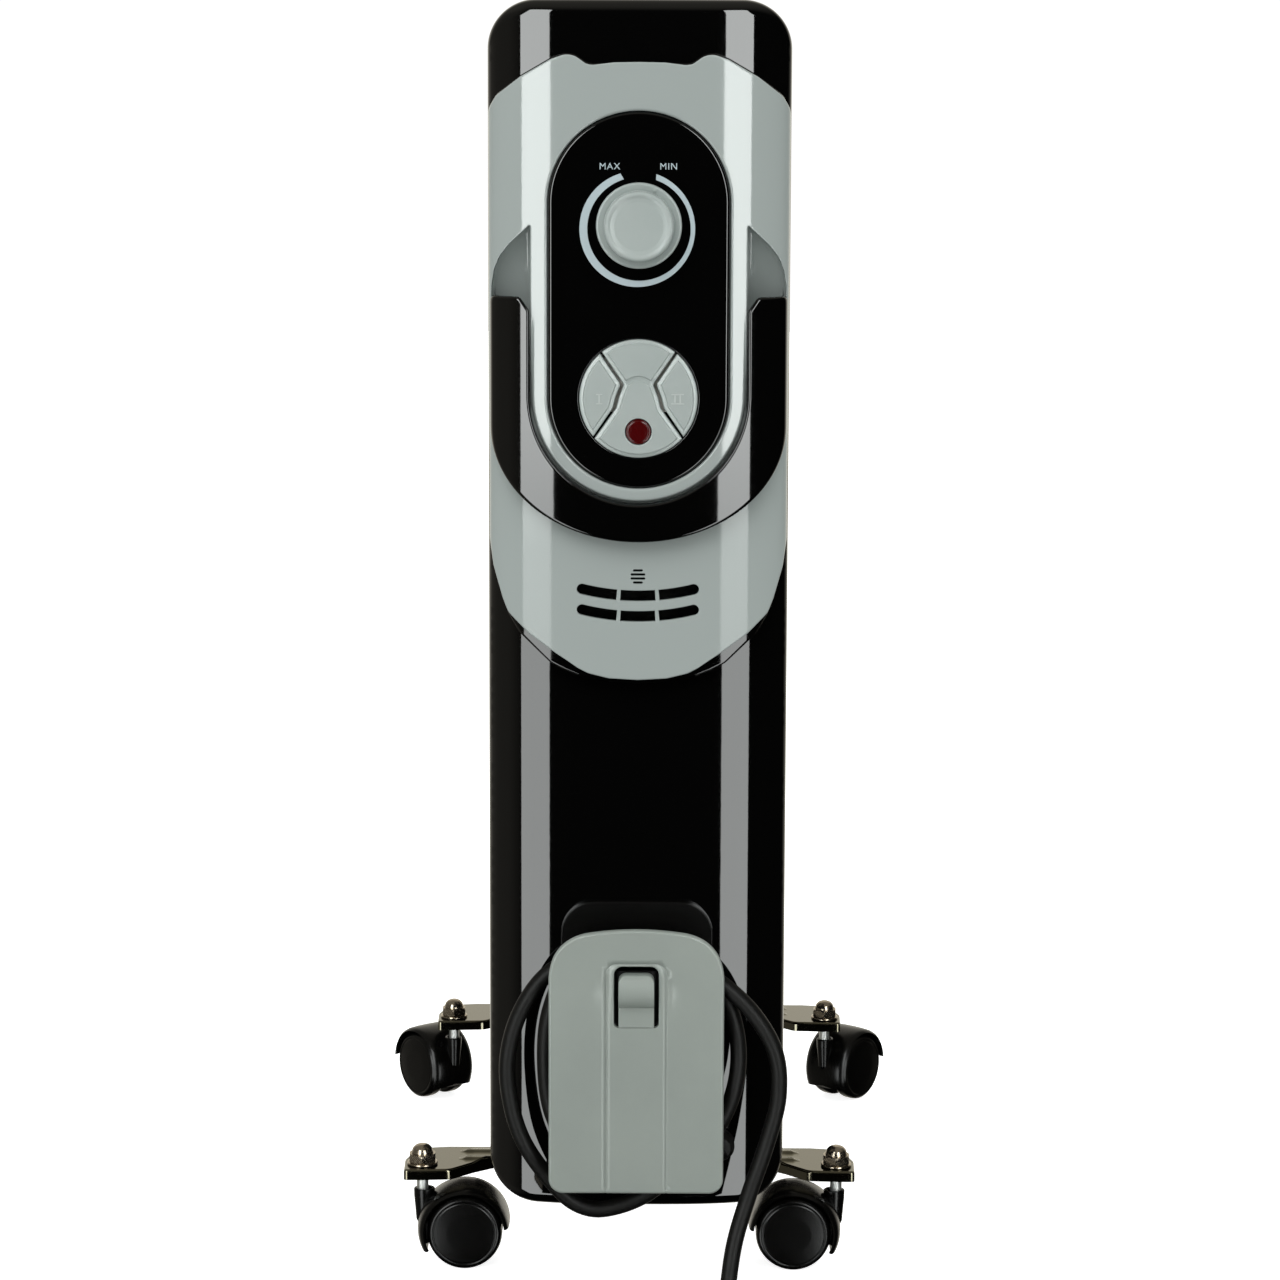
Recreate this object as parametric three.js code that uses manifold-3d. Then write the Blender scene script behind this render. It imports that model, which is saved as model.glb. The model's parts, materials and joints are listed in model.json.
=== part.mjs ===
// An oil filled radiator heater on casters: nine oil filled fins in a row, a glossy front cover with a
// control panel and a carry handle, a cord winder, two stamped feet and four twin wheel casters.
// Millimetres, +Z up, the front faces -Y. While a piece is being made, y = 0 is the plane where the
// cover's sides are widest; the whole heater is moved back at the end, so that its origin is on the
// floor under its middle.
import * as THREE from "three";
import { mergeVertices } from "three/addons/utils/BufferGeometryUtils.js";
import Module from "manifold-3d";

const wasm = await Module();
wasm.setup();

// ---------------------------------------------------------------- driving dimensions

const GAP = 0.3; // between pieces that touch
const FAR = 400; // the size of a cutter that has to pass through everything
const ROW_MIDDLE = 152.63; // from y = 0 to the middle of the heater

// A bowed skin is a superellipse in plan: half a width, the depth of the bow, and where its sides are.
const COVER_BOW = { half: 73, deep: 20, edge: 0, power: 3 };
const FACE_BOW = { half: 72, deep: 20.5, edge: -10.5, power: 3 };
const HANDLE_BOW = { half: 71.3, deep: 19, edge: -22, power: 2.5 };

const COVER = { low: 50, high: 642, corner: 24, back: 18, wall: 1.6 };
const FACE_WALL = 2.4;
const FACE_LIFT = 6.3; // of the faceplate's upper part and of the boss, off the bow of its lower part
const HANDLE_WALL = 3.5;

const PANEL = { radius: 42.9, low: 411.2, high: 589.4, front: -37, wall: 3.6, rim: 2 };
const BOSS = { radius: 51.2, low: 404.2, high: 597.7 };
const POCKET = { inner: 51.6, outer: 65.5, floor: -8.5, low: 440, deepest: 490, high: 541, wall: 2 };
const HANDLE = { inner: 51.9, low: 385.4, side: 440.4, high: 502, corner: 5, halfWidth: 71.5 };

const KNOB = { z: 536, skirt: 20.25, cap: 16.4, back: -37.5, flange: -41, front: -52, shaft: 3 };
const CLUSTER = { z: 454, radius: 28.2, front: -39.4, back: -33.4, slit: 0.5 };
const LENS = { z: 438.4, radius: 6 };

const FIN = { count: 9, first: 26.5, pitch: 39, half: 71, low: 52.3, shoulder: 634, crown: 641 };
const HUB = { radius: 23, low: 92, high: 604, bore: 13 };
const ROD_RADIUS = 8;

const WINDER = { half: 42.35, low: 67.6, high: 198.5, front: -50.3, back: -47 };
const NECK = { half: 36, low: 92, high: 178, corner: 27 };
const CLIP = { half: 8.6, root: 150.7, top: 177, slot: 10.8, slotTop: 180.7 };

const FOOT = { top: 52, skirt: 5.4, sheet: 1.6 };
const BOLT = { wire: 2.5, half: 27, low: 43, offset: 4 };
const FEET = { front: { x: 106, y: 42, shift: -3.8 }, rear: { x: 109.5, y: 315, shift: 0 } };
const CASTER = { trail: 22, axle: 19.2, wheel: 19.2, hood: 22.8, inside: 20.6, half: 13.6, web: 3 };
const STEM = { radius: 3, thread: 3.7, low: 24, shoulder: 45.8, top: 57.6, neck: 5, neckTop: 39.5 };

const GLAND = { x: 41, z: 84, y: -28, end: [14, -28, 66.5] };
const CORD = { radius: 4.05, sides: 10, steps: 72 };
const COIL = { x: -4.2, y: -88, inner: 35.9, outer: 52.4, high: 15.2 };

const CORD_ROUTE = [
  [13.7, -28, 66.3],
  [3, -28.2, 58.8],
  [-9, -28.6, 54],
  [-20.7, -29, 52.6],
  [-31.5, -29.4, 56.8],
  [-44.4, -30, 70.6],
  [-56, -30.6, 89],
  [-61.9, -31.2, 110],
  [-62.8, -31.8, 130.6],
  [-56.5, -32.2, 153.5],
  [-43, -32.6, 172.6],
  [-22, -32.8, 182.8],
  [2, -32.8, 184.2],
  [24, -32.9, 181.6],
  [40.5, -33.6, 166],
  [48.6, -35, 145],
  [49.2, -37.2, 124],
  [43, -39.6, 104],
  [29, -41, 86.5],
  [9, -41.2, 77],
  [-12, -41.2, 76.5],
  [-29.5, -41.2, 86],
  [-40.4, -41.2, 104],
  [-44.2, -41.2, 128],
  [-42, -41.2, 156],
  [-31.2, -41.2, 177.6],
  [-8, -41.2, 185],
  [20, -41.3, 183],
  [41.5, -41.5, 170],
  [57, -42, 155],
  [67.5, -42.6, 136],
  [69.2, -43.2, 115],
  [63.5, -44.2, 91],
  [55, -46.4, 66],
  [48.3, -50.5, 44],
  [45.2, -56.5, 25.5],
  [44.2, -65, 12],
  [44, -75, 6.2],
];

// ---------------------------------------------------------------- materials

const finish = (color, roughness, metalness = 0) =>
  new THREE.MeshStandardMaterial({ color, roughness, metalness });

const GLOSS_BLACK = finish(0x0b0b0c, 0.12);
const LIGHT_GREY = finish(0xa0aaa8, 0.22);
const PLATE_GREY = finish(0x929b93, 0.4);
const KNOB_GREY = finish(0xa5aca8, 0.35);
const SATIN_BLACK = finish(0x151515, 0.45);
const RUBBER = finish(0x2d2c28, 0.6);
const PAINTED_FIN = finish(0x0d0d0e, 0.3);
const BLACK_NICKEL = finish(0x5f5a4b, 0.25, 0.9);
const NICKEL = finish(0x9a907f, 0.15, 1);
const ZINC = finish(0xb8babb, 0.3, 1);
const RED_LENS = finish(0x55040a, 0.15);
const WHITE_PLASTIC = finish(0xe4e2da, 0.5);

// ---------------------------------------------------------------- solids

// A closed geometry as a manifold-3d solid, turned the right way out.
function solid(geometry) {
  const bare = geometry.clone();
  bare.deleteAttribute("normal");
  bare.deleteAttribute("uv");
  const merged = mergeVertices(bare, 1e-4);
  const vertProperties = merged.attributes.position.array;
  const triVerts = new Uint32Array(merged.index.array);
  const made = new wasm.Manifold(new wasm.Mesh({ numProp: 3, vertProperties, triVerts }));
  if (made.volume() > 0) return made;
  for (let i = 0; i < triVerts.length; i += 3) {
    [triVerts[i + 1], triVerts[i + 2]] = [triVerts[i + 2], triVerts[i + 1]];
  }
  return new wasm.Manifold(new wasm.Mesh({ numProp: 3, vertProperties, triVerts }));
}

function geometryOf(manifold) {
  const { vertProperties, triVerts } = manifold.getMesh();
  const geometry = new THREE.BufferGeometry();
  geometry.setAttribute("position", new THREE.BufferAttribute(new Float32Array(vertProperties), 3));
  geometry.setIndex(new THREE.BufferAttribute(new Uint32Array(triVerts), 1));
  geometry.computeVertexNormals();
  return geometry;
}

const AXES = {
  x: [new THREE.Vector3(0, 1, 0), new THREE.Vector3(0, 0, 1), new THREE.Vector3(1, 0, 0)],
  y: [new THREE.Vector3(1, 0, 0), new THREE.Vector3(0, 0, 1), new THREE.Vector3(0, -1, 0)],
  z: [new THREE.Vector3(1, 0, 0), new THREE.Vector3(0, 1, 0), new THREE.Vector3(0, 0, 1)],
};

// A shape pushed along an axis: "z" takes an (x, y) outline, "y" an (x, z) one, "x" a (y, z) one.
function prism(axis, shape, from, to, curveSegments = 6) {
  const options = { depth: to - from, bevelEnabled: false, steps: 1, curveSegments };
  const geometry = new THREE.ExtrudeGeometry(shape, options);
  geometry.applyMatrix4(new THREE.Matrix4().makeBasis(...AXES[axis]));
  const along = axis === "y" ? to : from;
  geometry.translate(axis === "x" ? along : 0, axis === "y" ? along : 0, axis === "z" ? along : 0);
  return solid(geometry);
}

function outline(points) {
  return new THREE.Shape(points.map(([u, v]) => new THREE.Vector2(u, v)));
}

// A rectangle with round corners, given by its sides.
function rounded(left, right, low, high, lowCorner, highCorner = lowCorner) {
  const shape = new THREE.Shape();
  shape.absarc(right - lowCorner, low + lowCorner, lowCorner, -Math.PI / 2, 0);
  shape.absarc(right - highCorner, high - highCorner, highCorner, 0, Math.PI / 2);
  shape.absarc(left + highCorner, high - highCorner, highCorner, Math.PI / 2, Math.PI);
  shape.absarc(left + lowCorner, low + lowCorner, lowCorner, Math.PI, Math.PI * 1.5);
  return shape;
}

function stadium(radius, low, high) {
  return rounded(-radius, radius, low, high, radius);
}

function block(x, y, z) {
  const geometry = new THREE.BoxGeometry(x[1] - x[0], y[1] - y[0], z[1] - z[0]);
  geometry.translate((x[0] + x[1]) / 2, (y[0] + y[1]) / 2, (z[0] + z[1]) / 2);
  return solid(geometry);
}

// A turned piece about a line along Y through (x, z). The profile is (radius, y) points.
function turnedY(profile, x, z, segments) {
  const geometry = new THREE.LatheGeometry(profile.map(([r, y]) => new THREE.Vector2(r, y)), segments);
  geometry.translate(x, 0, z);
  return solid(geometry);
}

// A turned piece about a line along Z through (x, y). The profile is (radius, z) points.
function turnedZ(profile, x, y, segments) {
  const geometry = new THREE.LatheGeometry(profile.map(([r, z]) => new THREE.Vector2(r, z)), segments);
  geometry.rotateX(Math.PI / 2);
  geometry.translate(x, y, 0);
  return solid(geometry);
}

function rod(axis, radius, from, to, u, v, segments = 12) {
  const profile = [
    [0, from],
    [radius, from],
    [radius, to],
    [0, to],
  ];
  return axis === "y" ? turnedY(profile, u, v, segments) : turnedZ(profile, u, v, segments);
}

function tube(curve, radius, sides, steps) {
  const section = new THREE.Shape();
  for (let i = 0; i < sides; i += 1) {
    const turn = (2 * Math.PI * i) / sides;
    const [u, v] = [radius * Math.cos(turn), radius * Math.sin(turn)];
    if (i === 0) section.moveTo(u, v);
    else section.lineTo(u, v);
  }
  return solid(new THREE.ExtrudeGeometry(section, { extrudePath: curve, steps, bevelEnabled: false }));
}

// Everything behind a bowed skin, as a prism along Z. Inset moves the skin inwards.
function behindBow(bow, back, inset = 0, steps = 16) {
  const half = bow.half - inset;
  const deep = bow.deep - inset;
  const shape = new THREE.Shape();
  shape.moveTo(-half, back);
  for (let i = 0; i <= steps; i += 1) {
    const turn = Math.PI * (1 - i / steps);
    const across = Math.sign(Math.cos(turn)) * Math.abs(Math.cos(turn)) ** (2 / bow.power);
    shape.lineTo(half * across, bow.edge - deep * Math.sin(turn));
  }
  shape.lineTo(half, back);
  return prism("z", shape, -10, 700);
}

const mirrored = (points) => [...points, ...points.map(([u, v]) => [-u, v]).reverse()];

// ---------------------------------------------------------------- the scene graph

const heater = new THREE.Group();
const row = new THREE.Group();
row.position.y = -ROW_MIDDLE;
heater.add(row);

function add(name, shape, material, parent = row) {
  const geometry = shape.isBufferGeometry ? shape : geometryOf(shape);
  const mesh = new THREE.Mesh(geometry, material);
  mesh.name = name;
  parent.add(mesh);
  return mesh;
}

// ---------------------------------------------------------------- fins

const finY = (index) => FIN.first + FIN.pitch * index;

// One fin: a welded sheet with a crown on top, an oil channel, and the two hubs that join the row.
function fin(index) {
  const y = finY(index);
  const last = index === FIN.count - 1;
  const crown = { foot: 33, top: 28.5 };
  const corner = 20;
  const sheetShape = new THREE.Shape();
  sheetShape.absarc(FIN.half - corner, FIN.low + corner, corner, -Math.PI / 2, 0);
  sheetShape.absarc(FIN.half - corner, FIN.shoulder - corner, corner, 0, Math.PI / 2);
  sheetShape.lineTo(crown.foot, FIN.shoulder);
  sheetShape.lineTo(crown.top, FIN.crown);
  sheetShape.lineTo(-crown.top, FIN.crown);
  sheetShape.lineTo(-crown.foot, FIN.shoulder);
  sheetShape.absarc(corner - FIN.half, FIN.shoulder - corner, corner, Math.PI / 2, Math.PI);
  sheetShape.absarc(corner - FIN.half, FIN.low + corner, corner, Math.PI, Math.PI * 1.5);
  const sheet = prism("y", sheetShape, y - 0.8, y + 0.8, 2);
  const channel = prism("y", rounded(-34, 34, FIN.low + 10, FIN.shoulder - 8, 24), y - 4.5, y + 4.5, 2);
  const reach = FIN.pitch / 2 - GAP / 2;
  const rear = last ? y + 9 : y + reach;
  const lowHub = rod("y", HUB.radius, y - reach, rear, 0, HUB.low, 14);
  const highHub = rod("y", HUB.radius, y - reach, rear, 0, HUB.high, 14);
  const bore = rod("y", HUB.bore, y - FIN.pitch, last ? y - 2 : y + FIN.pitch, 0, HUB.low, 12);
  return sheet.add(channel).add(lowHub).add(highHub).subtract(bore);
}

for (let i = 0; i < FIN.count; i += 1) add(`fin_${i + 1}`, fin(i), PAINTED_FIN);

// The heating element screws into the front end of the bottom hub and reaches back through the row.
function heatingElement() {
  const hubFront = finY(0) - FIN.pitch / 2;
  const nut = rod("y", 19, hubFront - 7, hubFront - GAP, 0, HUB.low, 6);
  const rodSolid = rod("y", ROD_RADIUS, hubFront - 2, finY(FIN.count - 1) - 14, 0, HUB.low, 10);
  const terminals = rod("y", 5, hubFront - 14, hubFront - 6, 0, HUB.low, 8);
  return nut.add(rodSolid).add(terminals);
}

add("heating_element", heatingElement(), ZINC);

// ---------------------------------------------------------------- front cover

const pocketWindow = (side, grow) =>
  block(
    side > 0 ? [49.1 + grow, 68.6 - grow] : [grow - 68.6, -49.1 - grow],
    [-FAR, FAR],
    [434 + grow, 542 - grow],
  );
const controlWindow = prism("y", rounded(-42, 42, 408, 586, 30), -FAR, FAR, 4);
const ventWindow = block([-32, 32], [-FAR, FAR], [343, 372]);

function frontCover() {
  const { low, high, corner, wall, back } = COVER;
  const { half } = COVER_BOW;
  const outer = prism("y", rounded(-half, half, low, high, corner), -FAR, back, 5);
  const inset = half - wall;
  const inner = prism("y", rounded(-inset, inset, low + wall, high - wall, corner - wall), -FAR, FAR, 5);
  const shell = outer
    .intersect(behindBow(COVER_BOW, back))
    .subtract(inner.intersect(behindBow(COVER_BOW, back + 5, wall)));
  const cordHole = rod("y", 5.2, -40, 0, GLAND.x, GLAND.z, 12);
  return shell
    .subtract(controlWindow)
    .subtract(ventWindow)
    .subtract(pocketWindow(1, 0))
    .subtract(pocketWindow(-1, 0))
    .subtract(cordHole);
}

// ---------------------------------------------------------------- control housing and faceplate

// The faceplate's outline: shoulders, a hump and a notch on each side at the top, a shield below.
const FACE_EDGE = [
  [0, 612.4],
  [12, 612.2],
  [22, 611],
  [25, 611.4],
  [30.5, 615.4],
  [35, 616],
  [42, 613.6],
  [56, 605.6],
  [68, 596.5],
  [72.2, 591],
  [72.2, 384],
  [70, 371],
  [65.5, 356],
  [62.7, 349],
  [52.7, 339.2],
  [39, 329.6],
  [34.6, 326.8],
  [29, 323],
  [24, 320.4],
  [14, 318],
  [0, 317.2],
];

// How far the skin stands off its bow, from the bottom to the top: all of it above the handle's legs.
const FACE_ROWS = [
  [300, 0],
  [440, 0],
  [454, 1.2],
  [468, 3.1],
  [482, 5.1],
  [496, FACE_LIFT],
  [640, FACE_LIFT],
];

// Everything behind the faceplate's skin, which is a bow that stands further off above the handle.
function behindFace(back, inset = 0, steps = 16) {
  const half = FACE_BOW.half - inset;
  const deep = FACE_BOW.deep - inset;
  const section = [new THREE.Vector2(-half, back)];
  for (let i = 0; i <= steps; i += 1) {
    const turn = Math.PI * (1 - i / steps);
    const across = Math.sign(Math.cos(turn)) * Math.abs(Math.cos(turn)) ** (2 / FACE_BOW.power);
    section.push(new THREE.Vector2(half * across, FACE_BOW.edge - deep * Math.sin(turn)));
  }
  section.push(new THREE.Vector2(half, back));
  const count = section.length;
  const positions = [];
  for (const [z, lift] of FACE_ROWS) {
    section.forEach(({ x, y }, i) => {
      const isBack = i === 0 || i === count - 1;
      positions.push(x, isBack ? y : y - lift, z);
    });
  }
  const index = [];
  const last = (FACE_ROWS.length - 1) * count;
  for (let row = 0; row < last; row += count) {
    for (let i = 0; i < count; i += 1) {
      const [a, b] = [row + i, row + ((i + 1) % count)];
      index.push(a, b, b + count, a, b + count, a + count);
    }
  }
  for (const [a, b, c] of THREE.ShapeUtils.triangulateShape(section, [])) {
    index.push(a, c, b, last + a, last + b, last + c);
  }
  const geometry = new THREE.BufferGeometry();
  geometry.setAttribute("position", new THREE.BufferAttribute(new Float32Array(positions), 3));
  geometry.setIndex(index);
  return solid(geometry);
}

// The black housing behind it: it shows as a step below the faceplate and a fine line round its top.
const HOUSING_EDGE = [
  [0, 613],
  [22, 611.8],
  [25, 612.3],
  [30.5, 616.2],
  [35, 616.8],
  [42, 614.4],
  [56, 606.3],
  [68, 597.2],
  [70.2, 594],
  [70.2, 377],
  [66, 358],
  [62.5, 347.5],
  [57, 338.6],
  [42.2, 324.8],
  [35, 321.4],
  [28.3, 318.8],
  [12.5, 315.6],
  [0, 314.8],
];

const coverClearance = behindBow(COVER_BOW, 60, -GAP);

function controlHousing() {
  const inset = FACE_WALL + GAP;
  const slab = prism("y", outline(mirrored(HOUSING_EDGE)), -FAR, FAR)
    .intersect(behindBow(FACE_BOW, 10, inset))
    .subtract(coverClearance);
  const pocketRoom = (side) =>
    block(side > 0 ? [49.6, 80] : [-80, -49.6], [-FAR, FAR], [435.6, 540.4]);
  return slab
    .subtract(controlWindow)
    .subtract(ventWindow)
    .subtract(pocketRoom(1))
    .subtract(pocketRoom(-1));
}

// A ventilation slot: a piece of a ring that sags in the middle, with a round or a square end.
function ventSlot(centreLow, from, to, roundEnd) {
  const bend = { radius: 118, high: 5.1 };
  const [outer, inner] = [bend.radius, bend.radius - bend.high];
  const angle = (x) => Math.asin(x / (bend.radius - bend.high / 2));
  const centre = centreLow + bend.radius;
  const steps = 4;
  const points = [];
  const at = (radius, x) => [
    radius * Math.sin(angle(x)),
    centre - radius * Math.cos(angle(x)),
  ];
  for (let i = 0; i <= steps; i += 1) points.push(at(outer, from + ((to - from) * i) / steps));
  if (roundEnd) points.push(at((outer + inner) / 2, to + bend.high / 2));
  for (let i = steps; i >= 0; i -= 1) points.push(at(inner, from + ((to - from) * i) / steps));
  return points;
}

function vents() {
  const cutters = [];
  for (const low of [355.7, 345.7]) {
    cutters.push(ventSlot(low, -8.3, 8.3, false));
    const side = ventSlot(low, 10.2, 26.8, true);
    cutters.push(side);
    cutters.push(side.map(([x, z]) => [-x, z]).reverse());
  }
  const slits = { z: 367.7, pitch: 1.95, high: 1.1, radius: 3.5 };
  for (let i = 0; i < 4; i += 1) {
    const z = slits.z + slits.pitch * (i - 1.5);
    const half = Math.sqrt(slits.radius ** 2 - (Math.abs(z - slits.z) - 0.3) ** 2);
    cutters.push([
      [-half, z - slits.high / 2],
      [half, z - slits.high / 2],
      [half, z + slits.high / 2],
      [-half, z + slits.high / 2],
    ]);
  }
  return cutters.map((points) => prism("y", outline(points), -60, 0));
}

// The finger pocket above and behind one leg of the handle: its hollow, and the skin that lines it.
function pocket(side) {
  const { inner, outer, floor, low, deepest, high, wall } = POCKET;
  const plan = [
    [inner, -60],
    [inner, floor],
    [outer, floor],
    [70.2, -13],
    [72.4, -60],
  ];
  const elevation = [
    [50.2, low],
    [50.2, 537],
    [56.5, 532.5],
    [62, 526.5],
    [67, 519],
    [69.4, 513],
    [72.4, 502],
    [72.4, low],
  ];
  const slope = [
    [-60, low],
    [floor, low],
    [floor, deepest],
    [-23.5, high],
    [-60, high],
  ];
  const flip = (points) => (side > 0 ? points : points.map(([x, v]) => [-x, v]).reverse());
  const hollow = prism("z", outline(flip(plan)), low, high)
    .intersect(prism("y", outline(flip(elevation)), -80, 20))
    .intersect(prism("x", outline(slope), -FAR, FAR));
  const skinX = [inner - 1.6, 71.8];
  const skin = block(
    side > 0 ? skinX : [-skinX[1], -skinX[0]],
    [-40, floor + wall],
    [low - wall - 2, high - 1],
  ).intersect(behindFace(0));
  return { hollow, skin };
}

function faceplate() {
  const plate = prism("y", outline(mirrored(FACE_EDGE)), -FAR, FAR).intersect(behindFace(0));
  const shrunk = FACE_EDGE.map(([x, z]) => [x * 0.966, 500 + (z - 500) * 0.966]);
  const hollowUpper = prism("y", outline(mirrored(shrunk)), -FAR, FAR).intersect(
    behindFace(10, FACE_WALL),
  );
  const raised = { ...FACE_BOW, edge: FACE_BOW.edge - FACE_LIFT };
  const boss = prism("y", stadium(BOSS.radius, BOSS.low, BOSS.high), -FAR, -10, 8).intersect(
    behindBow(raised, 0),
  );
  let face = plate.subtract(hollowUpper).add(boss).subtract(behindBow(FACE_BOW, 10, FACE_WALL));
  const sides = [1, -1].map(pocket);
  for (const { skin } of sides) face = face.add(skin);
  face = face.subtract(
    coverClearance.subtract(pocketWindow(1, GAP)).subtract(pocketWindow(-1, GAP)),
  );
  for (const { hollow } of sides) face = face.subtract(hollow);
  const { radius, low, high } = PANEL;
  face = face.subtract(prism("y", stadium(radius + GAP, low - GAP, high + GAP), -60, 0, 7));
  for (const cutter of vents()) face = face.subtract(cutter);
  return face;
}

// ---------------------------------------------------------------- carry handle

// A U round the lower half of the boss. Its legs are a shell, so that fingers go behind them.
function carryHandle() {
  const { inner, low, side, high, corner, halfWidth } = HANDLE;
  const shape = new THREE.Shape();
  shape.moveTo(inner, high - corner);
  shape.lineTo(inner + corner, high);
  shape.lineTo(halfWidth - corner / 2, high);
  shape.lineTo(halfWidth, high - corner / 2);
  shape.absellipse(0, side, halfWidth, side - low, 0, Math.PI, true);
  shape.lineTo(-halfWidth, high - corner / 2);
  shape.lineTo(corner / 2 - halfWidth, high);
  shape.lineTo(-inner - corner, high);
  shape.lineTo(-inner, high - corner);
  shape.absarc(0, BOSS.low + BOSS.radius, inner, Math.PI, 2 * Math.PI, false);
  const fingerRoom = behindBow(HANDLE_BOW, 20, HANDLE_WALL).intersect(
    block([-100, 100], [-60, 20], [444, 520]),
  );
  return prism("y", shape, -60, 0, 8)
    .intersect(behindBow(HANDLE_BOW, 0))
    .subtract(fingerRoom)
    .subtract(behindFace(20, -GAP));
}

// ---------------------------------------------------------------- controls

function controlPanel() {
  const { radius, low, high, front, wall, rim } = PANEL;
  const plate = prism("y", stadium(radius, low, high), front, front + wall, 7);
  const rimBack = -29.2;
  const skirt = prism("y", stadium(radius, low, high), front, rimBack, 7).subtract(
    prism("y", stadium(radius - rim, low + rim, high - rim), front + 1, 0, 7),
  );
  return plate
    .add(skirt)
    .subtract(rod("y", 4.2, -60, 0, 0, KNOB.z, 12))
    .subtract(rod("y", CLUSTER.radius + GAP, -60, 0, 0, CLUSTER.z, 32));
}

function thermostatKnob() {
  const { skirt, cap, back, flange, front, shaft, z } = KNOB;
  const bore = { radius: shaft + GAP, end: front + 5 };
  const profile = [
    [0, bore.end],
    [bore.radius, bore.end],
    [bore.radius, back],
    [skirt - 1, back],
    [skirt, back - 1],
    [skirt, flange + 0.6],
    [skirt - 0.8, flange],
    [cap, flange],
    [cap - 0.4, front + 1.6],
    [cap - 2, front + 0.2],
    [0, front],
  ];
  const pip = { out: 18.3, turn: THREE.MathUtils.degToRad(23.4), radius: 0.9, proud: 0.5 };
  const [x, up] = [pip.out * Math.sin(pip.turn), pip.out * Math.cos(pip.turn)];
  return turnedY(profile, 0, z, 24).add(rod("y", pip.radius, flange - pip.proud, flange + 1, x, z + up, 8));
}

// The shaft comes forward out of the thermostat, through the panel, and into the knob.
function thermostatShaft() {
  return rod("y", KNOB.shaft, -24, KNOB.front + 5 + GAP, 0, KNOB.z, 12);
}

function thermostatBody() {
  const body = block([-17, 17], [-14, 9], [KNOB.z - 14, KNOB.z + 14]);
  const bush = rod("y", 7, PANEL.front + PANEL.wall + GAP, -13, 0, KNOB.z, 12);
  return body.add(bush).subtract(rod("y", KNOB.shaft + GAP, -60, -23.5, 0, KNOB.z, 12));
}

// The button cluster is a disc: a fixed bezel in an hourglass shape, and a button on each side.
const BUTTON_EDGE = [
  [-17.9, 21.8],
  [-7.7, 6.8],
  [-10, 0.9],
  [-11.4, -4.6],
  [-21.2, -18.6],
];

function buttonShape(side, grow) {
  const { radius } = CLUSTER;
  const reach = radius * 1.6;
  const points = BUTTON_EDGE.map(([u, v]) => [u + grow, v]);
  const far = [
    [-reach, -reach * 0.72],
    [-reach, reach * 0.9],
  ];
  const beyond = points[0].map((value) => value * 1.3);
  const below = points[4].map((value) => value * 1.3);
  const all = [beyond, ...points, below, ...far].map(([u, v]) => [side * u, CLUSTER.z + v]);
  return outline(side > 0 ? all : all.reverse());
}

function clusterDisc(radius) {
  return rod("y", radius, CLUSTER.front, CLUSTER.back, 0, CLUSTER.z, 32);
}

function buttonBezel() {
  return clusterDisc(CLUSTER.radius)
    .subtract(prism("y", buttonShape(1, CLUSTER.slit), -60, 0))
    .subtract(prism("y", buttonShape(-1, CLUSTER.slit), -60, 0))
    .subtract(rod("y", LENS.radius + GAP, -60, 0, 0, LENS.z, 20));
}

function button(side) {
  return clusterDisc(CLUSTER.radius - 0.1).intersect(prism("y", buttonShape(side, -CLUSTER.slit), -60, 0));
}

function indicatorLamp() {
  const profile = [
    [0, -22],
    [3, -22],
    [3, -30],
    [LENS.radius, -30],
    [LENS.radius, -39.7],
    [LENS.radius - 0.8, -40.3],
    [0, -40.6],
  ];
  return turnedY(profile, 0, LENS.z, 20);
}

add("front_cover", frontCover(), GLOSS_BLACK);
add("control_housing", controlHousing(), GLOSS_BLACK);
add("faceplate", faceplate(), LIGHT_GREY);
add("carry_handle", carryHandle(), GLOSS_BLACK);
add("control_panel", controlPanel(), GLOSS_BLACK);
add("thermostat_knob", thermostatKnob(), KNOB_GREY);
add("thermostat_shaft", thermostatShaft(), ZINC);
add("thermostat_body", thermostatBody(), WHITE_PLASTIC);
add("button_bezel", buttonBezel(), KNOB_GREY);
add("button_1", button(1), KNOB_GREY);
add("button_2", button(-1), KNOB_GREY);
add("power_switches", block([-24, 24], [-29.8, -9], [447, 473]), WHITE_PLASTIC);
add("indicator_lamp", indicatorLamp(), RED_LENS);
add("terminal_block", block([-16, 16], [-5, 7], [386, 400]), WHITE_PLASTIC);
add("thermal_cutout", rod("y", 7, 14, 21.6, 24, 560, 12), ZINC);

// ---------------------------------------------------------------- cord winder

function winderPlate() {
  const { half, low, high, front, back } = WINDER;
  const shape = new THREE.Shape();
  shape.absarc(half - 7, low + 7, 7, -Math.PI / 2, 0);
  shape.lineTo(half, high - 24);
  shape.quadraticCurveTo(half - 1, high - 6, half - 18, high - 2);
  shape.quadraticCurveTo(0, high + 2, 18 - half, high - 2);
  shape.quadraticCurveTo(1 - half, high - 6, -half, high - 24);
  shape.absarc(7 - half, low + 7, 7, Math.PI, Math.PI * 1.5);
  const slot = rounded(-CLIP.slot, CLIP.slot, CLIP.root - GAP, CLIP.slotTop, 0.5, 4);
  return prism("y", shape, front, back, 5).subtract(prism("y", slot, -80, 0, 3));
}

// The sprung tongue in the plate's slot, with a lug for the thumb.
function winderClip() {
  const { half, root, top } = CLIP;
  const tongue = prism("y", rounded(-half, half, root, top, 0.5, 4), WINDER.front, WINDER.back, 3);
  const lug = outline([
    [WINDER.front + 1, 161],
    [WINDER.front - 3.6, 164.5],
    [WINDER.front - 4.6, 168],
    [WINDER.front - 3.6, 173],
    [WINDER.front + 1, 177],
  ]);
  return tongue.add(prism("x", lug, -half, half));
}

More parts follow.
